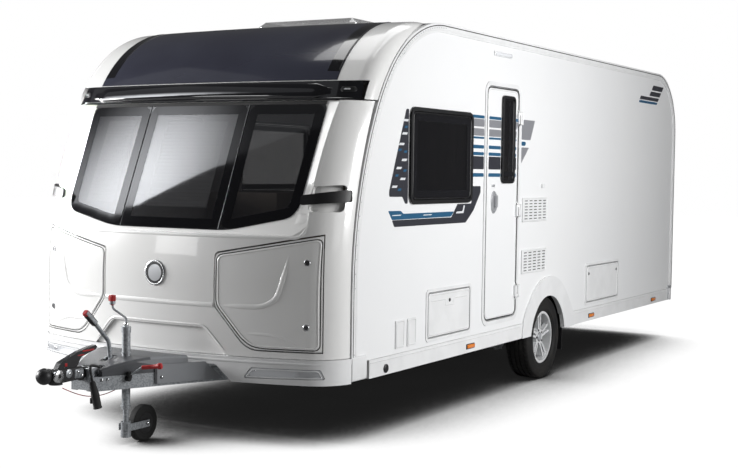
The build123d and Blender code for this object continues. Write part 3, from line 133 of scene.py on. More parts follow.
class Graph:
    """A material's shader tree, built from nothing."""

    def __init__(self, name: str) -> None:
        """Starts an empty material.

        Args:
            name: the material's name.
        """
        self.material = bpy.data.materials.new(name)
        self.material.use_nodes = True
        self.tree = self.material.node_tree
        self.tree.nodes.clear()

    def node(self, kind: str, settings: dict | None = None, values: dict | None = None) -> bpy.types.Node:
        """Adds any node.

        Args:
            kind: the node's type name.
            settings: properties, set before the sockets.
            values: numbers, colours or Socks by input name or index.

        Returns:
            The new node.
        """
        made = self.tree.nodes.new(kind)
        for key, value in (settings or {}).items():
            setattr(made, key, value)
        for key, value in (values or {}).items():
            target = made.inputs[key]
            if isinstance(value, Sock):
                self.tree.links.new(value.socket, target)
            elif isinstance(value, tuple) and len(value) == 3 and target.type == "RGBA":
                target.default_value = (*value, 1.0)
            else:
                target.default_value = value
        return made

    def math(self, operation: str, *operands: "Sock | float") -> Sock:
        """Adds one Math node.

        Args:
            operation: the node's operation.
            operands: one to three values.

        Returns:
            The node's result.
        """
        values = dict(enumerate(operands))
        return Sock(self, self.node("ShaderNodeMath", {"operation": operation}, values).outputs[0])

    def place(self) -> Sock:
        """Object coordinates."""
        return Sock(self, self.node("ShaderNodeTexCoord").outputs["Object"])

    def axes(self) -> tuple[Sock, Sock, Sock]:
        """Object coordinates as three values."""
        parts = self.node("ShaderNodeSeparateXYZ", None, {"Vector": self.place()})
        return tuple(Sock(self, output) for output in parts.outputs)

    def noise(self, scale: float, detail: float = 3.0, stretch: Point = (1, 1, 1)) -> Sock:
        """Noise over object coordinates.

        Args:
            scale: the noise's scale per metre.
            detail: its octaves.
            stretch: a factor along each axis.

        Returns:
            The noise, about 0.5.
        """
        mapped = self.node("ShaderNodeMapping", None, {"Vector": self.place(), "Scale": stretch})
        made = self.node(
            "ShaderNodeTexNoise", None, {"Vector": Sock(self, mapped.outputs[0]), "Scale": scale,
                                         "Detail": detail}
        )
        return Sock(self, made.outputs[0])

    def cells(self, scale: float) -> Sock:
        """Flat random cells over object coordinates.

        Args:
            scale: cells per metre.

        Returns:
            A random value for each cell.
        """
        made = self.node("ShaderNodeTexVoronoi", None, {"Vector": self.place(), "Scale": scale})
        parts = self.node("ShaderNodeSeparateColor", None, {"Color": Sock(self, made.outputs["Color"])})
        return Sock(self, parts.outputs[0])

    def mix(self, factor: "Sock | float", low: "Sock | Color", high: "Sock | Color") -> Sock:
        """Mixes two colours.

        Args:
            factor: 0 for low, 1 for high.
            low: the first colour.
            high: the second colour.

        Returns:
            The mixed colour.
        """
        node = self.node("ShaderNodeMix", {"data_type": "RGBA"}, {0: factor, 6: low, 7: high})
        return Sock(self, node.outputs[2])

    def bump(self, height: Sock, strength: float, distance: float) -> Sock:
        """A normal from a height.

        Args:
            height: the height, 0 to 1.
            strength: how much of it shows.
            distance: the height of 1, in metres.

        Returns:
            The normal.
        """
        made = self.node("ShaderNodeBump", None, {"Height": height, "Strength": strength, "Distance": distance})
        return Sock(self, made.outputs[0])

    def surface(self, shader: bpy.types.NodeSocket) -> bpy.types.Material:
        """Ends the tree in a shader and returns the material."""
        end = self.tree.nodes.new("ShaderNodeOutputMaterial")
        self.tree.links.new(shader, end.inputs["Surface"])
        return self.material


@dataclass(frozen=True)
class Finish:
    """A finish with a little variation of colour, gloss and relief."""

    name: str
    color: Color
    slot: str
    roughness: float = 0.4
    metallic: float = 0.0
    coat: float = 0.0
    second: Color | None = None
    mottle_scale: float = 6.0
    rough_spread: float = 0.06
    grain_scale: float = 400.0
    grain_depth: float = 0.0
    alpha: float = 1.0
    stretch: Point = (1, 1, 1)
    index: float = 1.45

    def pattern(self, graph: Graph) -> Sock:
        """The value that mixes the two colours."""
        return graph.noise(self.mottle_scale, 4.0, self.stretch)

    def relief(self, graph: Graph) -> Sock:
        """The height that the grain shows."""
        return graph.noise(self.grain_scale, 2.0)

    def material(self) -> bpy.types.Material:
        """Builds the finish's material once and returns it.

        Returns:
            The material.
        """
        made = bpy.data.materials.get(self.name)
        if made:
            return made
        graph = Graph(self.name)
        mottle = self.pattern(graph)
        far = self.second or tuple(c * 0.94 for c in self.color)
        values: dict = {
            "Base Color": graph.mix(mottle.ramp(0.35, 0.65), self.color, far),
            "Roughness": mottle.ramp(0.3, 0.7, self.roughness, self.roughness + self.rough_spread),
            "Metallic": self.metallic,
            "Coat Weight": self.coat,
            "Coat Roughness": 0.03,
            "Alpha": self.alpha,
            "IOR": self.index,
        }
        if self.grain_depth > 0:
            values["Normal"] = graph.bump(self.relief(graph), 1.0, self.grain_depth)
        shader = graph.node("ShaderNodeBsdfPrincipled", None, values)
        return graph.surface(shader.outputs[0])


@dataclass(frozen=True)
class Spangle(Finish):
    """Hot-dip zinc: flat crystals with a faint mottle."""

    def pattern(self, graph: Graph) -> Sock:
        """Crystals 8 mm across, softened by noise."""
        return graph.cells(130.0) * 0.6 + graph.noise(14.0) * 0.4


@dataclass(frozen=True)
class TreadRubber(Finish):
    """Tyre rubber with rings moulded on its walls."""

    hub: Point = (1.02, 0.49, 0.315)

    def relief(self, graph: Graph) -> Sock:
        """Fine rings round the axle on top of a dusty grain."""
        _, y, z = graph.axes()
        radius = ((y - self.hub[1]) ** 2.0 + (z - self.hub[2]) ** 2.0) ** 0.5
        rings = (radius * 900.0).sine().ramp(0.2, 0.9)
        wall = radius.ramp(0.286, 0.292, 1.0, 0.0) * radius.ramp(0.262, 0.266)
        return rings * wall + graph.noise(500.0) * 0.25


class Paint(Enum):
    """The caravan's finishes."""

    SHELL = Finish("gloss_shell", (0.80, 0.80, 0.79), "white_shell", 0.22, coat=0.6, rough_spread=0.04,
                   mottle_scale=1.2, second=(0.78, 0.78, 0.775), grain_scale=90.0, grain_depth=0.00004)
    PANEL = Finish("side_panel", (0.82, 0.825, 0.83), "white_shell", 0.3, coat=0.35, mottle_scale=0.8,
                   second=(0.80, 0.807, 0.815), grain_scale=260.0, grain_depth=0.00005)
    TRIM = Finish("white_trim", (0.76, 0.765, 0.77), "white_plastic", 0.34, coat=0.2, grain_scale=600.0,
                  grain_depth=0.00003)
    ROOF = Finish("roof_sheet", (0.74, 0.745, 0.75), "white_shell", 0.45, mottle_scale=3.0,
                  second=(0.68, 0.68, 0.67), grain_scale=160.0, grain_depth=0.0001)
    GREY = Finish("grey_cover", (0.062, 0.065, 0.072), "grey_plastic", 0.42, grain_scale=900.0,
                  grain_depth=0.00012, second=(0.082, 0.086, 0.094))
    PALE_GREY = Finish("pale_grey_cover", (0.25, 0.26, 0.275), "grey_plastic", 0.42, grain_scale=900.0,
                       grain_depth=0.0001)
    BLACK = Finish("black_moulding", (0.009, 0.009, 0.010), "black_plastic", 0.4, grain_scale=900.0,
                   grain_depth=0.0001)
    PIANO = Finish("piano_black", (0.006, 0.006, 0.008), "black_gloss", 0.08, coat=1.0, rough_spread=0.02)
    SUNROOF = Finish("sunroof_glass", (0.030, 0.031, 0.046), "tinted_acrylic", 0.12, coat=0.6,
                     rough_spread=0.05, second=(0.036, 0.038, 0.055), mottle_scale=2.0)
    WINDOW = Finish("tinted_pane", (0.006, 0.006, 0.008), "tinted_acrylic", 0.03, coat=1.0, rough_spread=0.01,
                    alpha=0.55, index=1.85)
    PRINT = Finish("screen_print", (0.004, 0.004, 0.005), "black_gloss", 0.05, rough_spread=0.01)
    CLEAR = Finish("clear_lens", (0.62, 0.64, 0.67), "clear_lens", 0.12, coat=1.0, grain_scale=120.0,
                   grain_depth=0.0004)
    AMBER = Finish("amber_lens", (0.75, 0.20, 0.01), "red_lens", 0.18, coat=1.0, grain_scale=300.0,
                   grain_depth=0.0004)
    RED_LENS = Finish("red_lens", (0.42, 0.01, 0.012), "red_lens", 0.15, coat=1.0, grain_scale=140.0,
                      grain_depth=0.0005)
    ZINC = Spangle("zinc", (0.40, 0.42, 0.44), "galvanised_steel", 0.38, 0.75, second=(0.27, 0.285, 0.30),
                   grain_scale=60.0, grain_depth=0.0003, rough_spread=0.16)
    BRIGHT = Finish("bright_steel", (0.62, 0.63, 0.64), "galvanised_steel", 0.22, 1.0, mottle_scale=40.0)
    CAST = Finish("black_casting", (0.02, 0.02, 0.022), "cast_coupling", 0.42, 0.1, grain_scale=350.0,
                  grain_depth=0.0003)
    ALLOY = Finish("silver_alloy", (0.80, 0.81, 0.82), "alloy", 0.26, 0.25, coat=0.8, grain_scale=1500.0,
                   grain_depth=0.00002)
    DRUM = Finish("drum_iron", (0.045, 0.042, 0.04), "drum_iron", 0.7, 0.3, second=(0.07, 0.05, 0.04),
                  mottle_scale=20.0, grain_scale=300.0, grain_depth=0.0004)
    TYRE_LEFT = TreadRubber("tyre_left", (0.012, 0.012, 0.0125), "tyre_rubber", 0.62,
                            second=(0.019, 0.018, 0.017), mottle_scale=8.0, grain_depth=0.0009, index=1.28)
    TYRE_RIGHT = TreadRubber("tyre_right", (0.012, 0.012, 0.0125), "tyre_rubber", 0.62,
                             second=(0.019, 0.018, 0.017), mottle_scale=8.0, grain_depth=0.0009, index=1.28,
                             hub=(-1.02, 0.49, 0.315))
    CASTER_TYRE = TreadRubber("caster_rubber", (0.02, 0.02, 0.02), "black_rubber", 0.66, grain_depth=0.0003,
                              index=1.28, hub=(0.062, -2.945, 0.105))
    RUBBER = Finish("black_rubber", (0.016, 0.016, 0.017), "black_rubber", 0.55, grain_scale=700.0,
                    grain_depth=0.0001)
    PLY = Finish("sealed_ply", (0.085, 0.06, 0.04), "plywood_floor", 0.6, second=(0.06, 0.043, 0.03),
                 mottle_scale=5.0, stretch=(1, 0.08, 1), grain_scale=120.0, grain_depth=0.0003)
    CABINET = Finish("cabinet", (0.30, 0.25, 0.20), "furniture", 0.5, second=(0.25, 0.20, 0.16),
                     mottle_scale=7.0, stretch=(1, 1, 0.1), grain_scale=200.0, grain_depth=0.0002)
    RED = Finish("red_grip", (0.42, 0.012, 0.014), "red_cord", 0.35, coat=0.3, grain_scale=500.0,
                 grain_depth=0.0001)
    CHARCOAL = Finish("charcoal_vinyl", (0.035, 0.036, 0.045), "black_gloss", 0.3, coat=0.4, mottle_scale=3.0)
    BLUE = Finish("blue_vinyl", (0.022, 0.105, 0.205), "black_gloss", 0.3, coat=0.4, mottle_scale=3.0)
    SILVER = Finish("silver_vinyl", (0.33, 0.335, 0.36), "black_gloss", 0.32, 0.3, coat=0.4, mottle_scale=3.0)
    BLIND = Finish("pale_frame", (0.62, 0.62, 0.63), "white_plastic", 0.5)
    PALE_FILM = Finish("pale_vinyl", (0.72, 0.74, 0.76), "black_gloss", 0.3, coat=0.4, mottle_scale=3.0)
    DARK_METAL = Finish("dark_steel", (0.09, 0.09, 0.095), "galvanised_steel", 0.35, 0.9, mottle_scale=40.0)
    SILVER_PLASTIC = Finish("silver_plastic", (0.46, 0.47, 0.49), "grey_plastic", 0.3, 0.4, coat=0.4,
                            grain_scale=900.0, grain_depth=0.00004)
    # Near-black: painted shade in the wall vents' slot openings, and the real colour of the disc's dark band.
    VENT_DARK = Finish("vent_slot", (0.030, 0.030, 0.032), "grey_plastic", 0.7)

    def coat_on(self, thing: bpy.types.Object) -> None:
        """Makes this the only material of a piece.

        Args:
            thing: the mesh or curve to dress.
        """
        thing.data.materials.clear()
        thing.data.materials.append(self.value.material())


NODE_FINISH: dict[Paint, str] = {
    Paint.SHELL: "front_panel locker_lid_left locker_lid_right front_cap rear_panel",
    Paint.PANEL: "side_walls entrance_door",
    Paint.TRIM: "bumpers awning_rails skirts wall_frames hatch_front hatch_rear hatch_cassette hatch_service"
                " wall_vents front_locker roof_fittings",
    Paint.ROOF: "roof",
    Paint.GREY: "drawbar_covers",
    Paint.BLACK: "front_window_frame wheel_boxes cable_plug grab_handles",
    Paint.PIANO: "lamp_bar",
    Paint.WINDOW: "front_glass cabin_windows door_window rooflight_lid_front rooflight_lid_rear",
    Paint.CLEAR: "front_lamps",
    Paint.RED_LENS: "rear_lamps",
    Paint.ZINC: "chassis axle handbrake_lever jockey_tube jockey_stem jockey_fork"
                " steady_front_left steady_front_right steady_rear_left steady_rear_right",
    Paint.CAST: "coupling_head",
    Paint.ALLOY: "rim_left rim_right",
    Paint.DRUM: "drum_left drum_right",
    Paint.TYRE_LEFT: "tyre_left",
    Paint.TYRE_RIGHT: "tyre_right",
    Paint.CASTER_TYRE: "jockey_wheel",
    Paint.RUBBER: "road_cable",
    Paint.RED: "breakaway_cable",
    Paint.PLY: "floor",
    Paint.CABINET: "cabin_furniture",
}


# ---------------------------------------------------------------- shaping tools
def full_turn(count: int, offset: float = 0.0) -> list[float]:
    """Divides a full turn into even steps.

    Args:
        count: how many steps.
        offset: a shift of all angles, in steps.

    Returns:
        The angles, in radians.
    """
    return [2 * math.pi * (k + offset) / count for k in range(count)]


def rounded(points: Sequence[Sequence[float]], radius: float, step: float = 0.02,
            closed: bool = False) -> list[Vector]:
    """Rounds a path's corners and divides it into short steps.

    Args:
        points: the path's corners, in two or three dimensions.
        radius: the corner radius; a corner with less room gets less.
        step: the longest step left, in metres.
        closed: whether the path returns to its start.

    Returns:
        The points of the smooth path.
    """
    corners = [Vector(p) for p in points]
    count = len(corners)
    smooth: list[Vector] = []
    for i, corner in enumerate(corners):
        if not closed and i in (0, count - 1):
            smooth.append(corner)
            continue
        before, after = corners[i - 1] - corner, corners[(i + 1) % count] - corner
        room = min(radius, before.length * 0.48, after.length * 0.48)
        start, end = corner + before.normalized() * room, corner + after.normalized() * room
        for k in range(CORNER_STEPS + 1):
            t = k / CORNER_STEPS
            smooth.append(start.lerp(corner, t).lerp(corner.lerp(end, t), t))
    if closed:
        smooth.append(smooth[0])
    fine: list[Vector] = []
    for a, b in zip(smooth, smooth[1:]):
        steps = max(1, math.ceil((b - a).length / step))
        fine += [a.lerp(b, k / steps) for k in range(steps)]
    if not closed:
        fine.append(smooth[-1])
    return fine


class Skin:
    """The outer surface of some pieces, looked at along one direction."""

    def __init__(self, names: str, looking: Point, lift: float = 0.0) -> None:
        """Reads the pieces' surfaces.

        Args:
            names: node names, separated by blanks.
            looking: the direction of sight; one of the axes.
            lift: how far off the surface points are returned.
        """
        self.looking = Vector(looking)
        self.lift = lift
        depsgraph = bpy.context.evaluated_depsgraph_get()
        self.trees = [BVHTree.FromObject(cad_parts[name], depsgraph) for name in names.split()]
        self.across = [axis for axis in range(3) if abs(looking[axis]) < 0.5]

    def at(self, spot: Sequence[float]) -> tuple[Vector, Vector]:
        """Finds the surface at a spot of the view.

        Args:
            spot: the two coordinates across the direction of sight.

        Returns:
            The point on the surface and the normal there.
        """
        start = self.looking * -6.0
        for axis, value in zip(self.across, spot):
            start[axis] = value
        best = None
        for tree in self.trees:
            hit, normal, _, away = tree.ray_cast(start, self.looking)
            if hit is not None and (best is None or away < best[2]):
                best = (hit, normal, away)
        if best is None:
            raise ValueError(f"no surface at {tuple(spot)}")
        normal = best[1] if best[1].dot(self.looking) < 0 else -best[1]
        return best[0] + normal * self.lift, normal


class Shape:
    """A mesh under construction, in the caravan's own coordinates."""

    def __init__(self) -> None:
        """Starts an empty mesh."""
        self.mesh = bmesh.new()

    def loops(self, rings: Sequence[Sequence[Vector]], closed: bool = False, caps: bool = True) -> "Shape":
        """Joins closed rings of points into a skin.

        Args:
            rings: rings with the same number of points.
            closed: whether the last ring meets the first.
            caps: whether the ends are closed.

        Returns:
            This shape.
        """
        rows = [[self.mesh.verts.new(p) for p in ring] for ring in rings]
        pairs = list(zip(rows, rows[1:])) + ([(rows[-1], rows[0])] if closed else [])
        for a, b in pairs:
            for i in range(len(a)):
                j = (i + 1) % len(a)
                self.mesh.faces.new((a[i], a[j], b[j], b[i]))
        if caps and not closed:
            self.mesh.faces.new(rows[0][::-1])
            self.mesh.faces.new(rows[-1])
        return self

    def ribbon(
        self, path: Sequence[Vector], skin: Skin, section: Sequence[tuple[float, float]], closed: bool = False,
        fade: float = 0.0,
    ) -> "Shape":
        """Lays a moulded strip along a path on a skin.

        Args:
            path: the strip's middle line in the skin's view.
            skin: the surface that carries it.
            section: the strip's section as (sideways, height) points, all the way round.
            closed: whether the strip returns to its start.
            fade: length over which each end sinks into the surface.

        Returns:
            This shape.
        """
        spots = [skin.at(p) for p in path]
        last = len(spots) - 1
        run = [0.0]
        for (a, _), (b, _) in zip(spots, spots[1:]):
            run.append(run[-1] + (b - a).length)
        rings = []
        for i, (point, normal) in enumerate(spots):
            before = spots[i - 1][0] if i or closed else point
            after = spots[(i + 1) % (last + 1)][0] if i < last or closed else point
            side = (after - before).normalized().cross(normal).normalized()
            size = 1.0
            if fade > 0:
                size = min(1.0, max(FADED, min(run[i], run[-1] - run[i]) / fade))
                size = size * size * (3 - 2 * size)
            rings.append([point + side * (s * (0.4 + 0.6 * size)) + normal * (h * size) for s, h in section])
        return self.loops(rings, closed)

    def sheet(self, outline: Sequence[Sequence[float]], skin: Skin, thick: float,
              sink: float = 0.0006) -> "Shape":
        """Covers an outline on a skin with a thin plate.

        Args:
            outline: the plate's corners in the skin's view.
            skin: the surface that carries it.
            thick: how far it stands out.
            sink: how far its back goes into the surface.

        Returns:
            This shape.
        """
        spots = [skin.at(p) for p in outline]
        count = len(spots)
        front = [self.mesh.verts.new(p + n * thick) for p, n in spots]
        back = [self.mesh.verts.new(p - n * sink) for p, n in spots]
        self.mesh.faces.new(front)
        self.mesh.faces.new(back[::-1])
        for i in range(count):
            j = (i + 1) % count
            self.mesh.faces.new((front[j], front[i], back[i], back[j]))
        return self

    def prism(self, outline: Sequence[Point], along: Point) -> "Shape":
        """Pushes a flat outline along a vector.

        Args:
            outline: the corners of the near face.
            along: the vector to the far face.

        Returns:
            This shape.
        """
        near = [Vector(p) for p in outline]
        return self.loops([near, [p + Vector(along) for p in near]])

    def block(self, middle: Point, size: Point, round_off: float = 0.003) -> "Shape":
        """Adds a block with rounded edges.

        Args:
            middle: its centre.
            size: its length along each axis.
            round_off: the radius of its edges.

        Returns:
            This shape.
        """
        made = bmesh.ops.create_cube(self.mesh, size=1.0,
                                     matrix=Matrix.Translation(middle) @ Matrix.Diagonal((*size, 1)))
        edges = list({edge for vert in made["verts"] for edge in vert.link_edges})
        room = min(round_off, min(size) * 0.45)
        bmesh.ops.bevel(self.mesh, geom=edges, offset=room, segments=3, profile=0.5, affect="EDGES")
        return self

    def turned(self, profile: Sequence[tuple[float, float]], origin: Point, axis: Point,
               sides: int = 40) -> "Shape":
        """Turns a profile about an axis.

        Args:
            profile: (radius, height) points from one end to the other.
            origin: the foot of the axis.
            axis: the axis's direction.
            sides: how many faces go round.

        Returns:
            This shape.
        """
        way = Vector(axis).normalized()
        first = way.orthogonal().normalized()
        second = way.cross(first)
        rings = []
        for radius, height in profile:
            middle = Vector(origin) + way * height
            reach = max(radius, POINT_RADIUS)
            circle = [middle + (first * math.cos(a) + second * math.sin(a)) * reach for a in full_turn(sides)]
            rings.append(circle)
        return self.loops(rings)

    def tube(self, path: Sequence[Sequence[float]], radius: float, bend: float = 0.02,
             sides: int = 14) -> "Shape":
        """Bends a round bar along a path.

        Args:
            path: the path's corners.
            radius: the bar's radius.
            bend: the bend radius at the corners.
            sides: how many faces go round.

        Returns:
            This shape.
        """
        line = rounded(path, bend, 0.05)
        side = (line[1] - line[0]).orthogonal().normalized()
        rings = []
        for i, point in enumerate(line):
            way = (line[min(i + 1, len(line) - 1)] - line[max(i - 1, 0)]).normalized()
            side = (side - way * side.dot(way)).normalized()
            other = way.cross(side)
            circle = [point + (side * math.cos(a) + other * math.sin(a)) * radius for a in full_turn(sides)]
            rings.append(circle)
        return self.loops(rings)

    def mirrored(self) -> "Shape":
        """Adds the shape's mirror image on the other side of the caravan.

        Returns:
            This shape.
        """
        copy = bmesh.ops.duplicate(self.mesh, geom=self.mesh.verts[:] + self.mesh.edges[:] + self.mesh.faces[:])
        verts = [item for item in copy["geom"] if isinstance(item, bmesh.types.BMVert)]
        for vert in verts:
            vert.co.x = -vert.co.x
        return self

    def done(self, name: str, paint: Paint, body: str = "root", crease: float = 40.0) -> bpy.types.Object:
        """Finishes the mesh as a piece that rides a body.

        Args:
            name: the piece's name.
            paint: its finish.
            body: the body that carries it.
            crease: the angle above which edges stay sharp, in degrees.

        Returns:
            The finished object.
        """
        bmesh.ops.remove_doubles(self.mesh, verts=self.mesh.verts[:], dist=WELD)
        bmesh.ops.recalc_face_normals(self.mesh, faces=self.mesh.faces[:])
        for face in self.mesh.faces:
            face.smooth = True
        for edge in self.mesh.edges:
            if len(edge.link_faces) == 2 and edge.calc_face_angle(0.0) > math.radians(crease):
                edge.smooth = False
        data = bpy.data.meshes.new(name)
        self.mesh.to_mesh(data)
        self.mesh.free()
        made = bpy.data.objects.new(name, data)
        bpy.context.collection.objects.link(made)
        paint.coat_on(made)
        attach(made, body)
        log.info("%s: %d faces on %s", name, len(data.polygons), body)
        return made


def bead(width: float, height: float) -> list[tuple[float, float]]:
    """A soft raised strip's section.

    Args:
        width: its full width.
        height: how far it stands out.

    Returns:
        Points round the section.
    """
    half = width / 2
    return [(-half, -0.002), (-half, 0.0), (-half * 0.62, height * 0.62), (0.0, height),
            (half * 0.62, height * 0.62), (half, 0.0), (half, -0.002)]


def flat(width: float, height: float, sink: float = 0.002) -> list[tuple[float, float]]:
    """A flat strip's section with small chamfers.

    Args:
        width: its full width.
        height: how far it stands out.
        sink: how deep its foot goes in.

    Returns:
        Points round the section.
    """
    half, cut = width / 2, min(0.0012, height * 0.5)
    return [(-half, -sink), (-half, height - cut), (-half + cut, height), (half - cut, height),
            (half, height - cut), (half, -sink)]


def oblong(u0: float, u1: float, v0: float, v1: float, radius: float, step: float = 0.03) -> list[Vector]:
    """A rounded rectangle as a closed path.

    Args:
        u0: its lower first coordinate.
        u1: its upper first coordinate.
        v0: its lower second coordinate.
        v1: its upper second coordinate.
        radius: its corner radius.
        step: the longest step, in metres.

    Returns:
        The path's points.
    """
    return rounded(((u0, v0), (u1, v0), (u1, v1), (u0, v1)), radius, step, closed=True)


def inset(size: Sequence[float], gap: float, radius: float) -> list[Vector]:
    """A rounded rectangle that runs inside another one.

    Args:
        size: the outer limits: low and high first, low and high second coordinate.
        gap: how far inside it runs.
        radius: its corner radius.

    Returns:
        The path's points.
    """
    u0, u1, v0, v1 = size
    return oblong(u0 + gap, u1 - gap, v0 + gap, v1 - gap, radius)


def straight(start: Sequence[float], end: Sequence[float], step: float = 0.02) -> list[Vector]:
    """A straight path in short steps.

    Args:
        start: where it starts in the skin's view.
        end: where it ends.
        step: the longest step, in metres.

    Returns:
        The path's points.
    """
    return rounded((start, end), 0.0, step)


def swung(points: Sequence[Sequence[float]]) -> list[tuple[float, float]]:
    """Turns an outline given for the right half of the nose over to the left half.

    Args:
        points: (x, z) points.

    Returns:
        The mirrored points.
    """
    return [(-p[0], p[1]) for p in points]


# ---------------------------------------------------------------- repeated details
@dataclass
class Repeats:
    """Geometry Nodes trees for details that repeat."""

    segments: int = 12
    rings: int = 6

    def copies(self, name: str, places: Sequence[Point], size: Point, paint: Paint, body: str = "root",
               round_kind: bool = False) -> bpy.types.Object:
        """Sets one small block or round head at each of many places.

        Args:
            name: the piece's name.
            places: the centre of each copy.
            size: the block's size, or the round head's radius along each axis.
            paint: the finish.
            body: the body that carries it.
            round_kind: whether it is round.

        Returns:
            The finished object.
        """
        base = bpy.data.meshes.new(name + "_points")
        base.from_pydata([Vector(p) for p in places], [], [])
        host = bpy.data.objects.new(name, base)
        bpy.context.collection.objects.link(host)
        tree = bpy.data.node_groups.new(name + "_tree", "GeometryNodeTree")
        face = tree.interface
        for label, kind in (("Places", "Geometry"), ("Size", "Vector")):
            face.new_socket(label, in_out="INPUT", socket_type=f"NodeSocket{kind}")
        face.new_socket("Pieces", in_out="OUTPUT", socket_type="NodeSocketGeometry")
        nodes, links = tree.nodes, tree.links
        start, end = nodes.new("NodeGroupInput"), nodes.new("NodeGroupOutput")
        if round_kind:
            head = nodes.new("GeometryNodeMeshUVSphere")
            for label, value in (("Segments", self.segments), ("Rings", self.rings), ("Radius", 1.0)):
                head.inputs[label].default_value = value
        else:
            head = nodes.new("GeometryNodeMeshCube")
        scale = nodes.new("GeometryNodeTransform")
        links.new(head.outputs["Mesh"], scale.inputs["Geometry"])
        links.new(start.outputs["Size"], scale.inputs["Scale"])
        copies = nodes.new("GeometryNodeInstanceOnPoints")
        links.new(start.outputs["Places"], copies.inputs["Points"])
        links.new(scale.outputs["Geometry"], copies.inputs["Instance"])
        whole = nodes.new("GeometryNodeRealizeInstances")
        dress = nodes.new("GeometryNodeSetMaterial")
        dress.inputs["Material"].default_value = paint.value.material()
        links.new(copies.outputs["Instances"], whole.inputs["Geometry"])
        links.new(whole.outputs["Geometry"], dress.inputs["Geometry"])
        links.new(dress.outputs["Geometry"], end.inputs["Pieces"])
        live = host.modifiers.new(name + "_live", "NODES")
        live.node_group = tree
        keys = {item.name: item.identifier for item in face.items_tree if item.in_out == "INPUT"}
        live[keys["Size"]] = size
        view = bpy.context.evaluated_depsgraph_get()
        solid = bpy.data.meshes.new_from_object(host.evaluated_get(view), depsgraph=view)
        host.modifiers.clear()
        host.data = solid
        if round_kind:
            solid.shade_smooth()
        paint.coat_on(host)
        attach(host, body)
        log.info("%s: %d copies on %s", name, len(places), body)
        return host


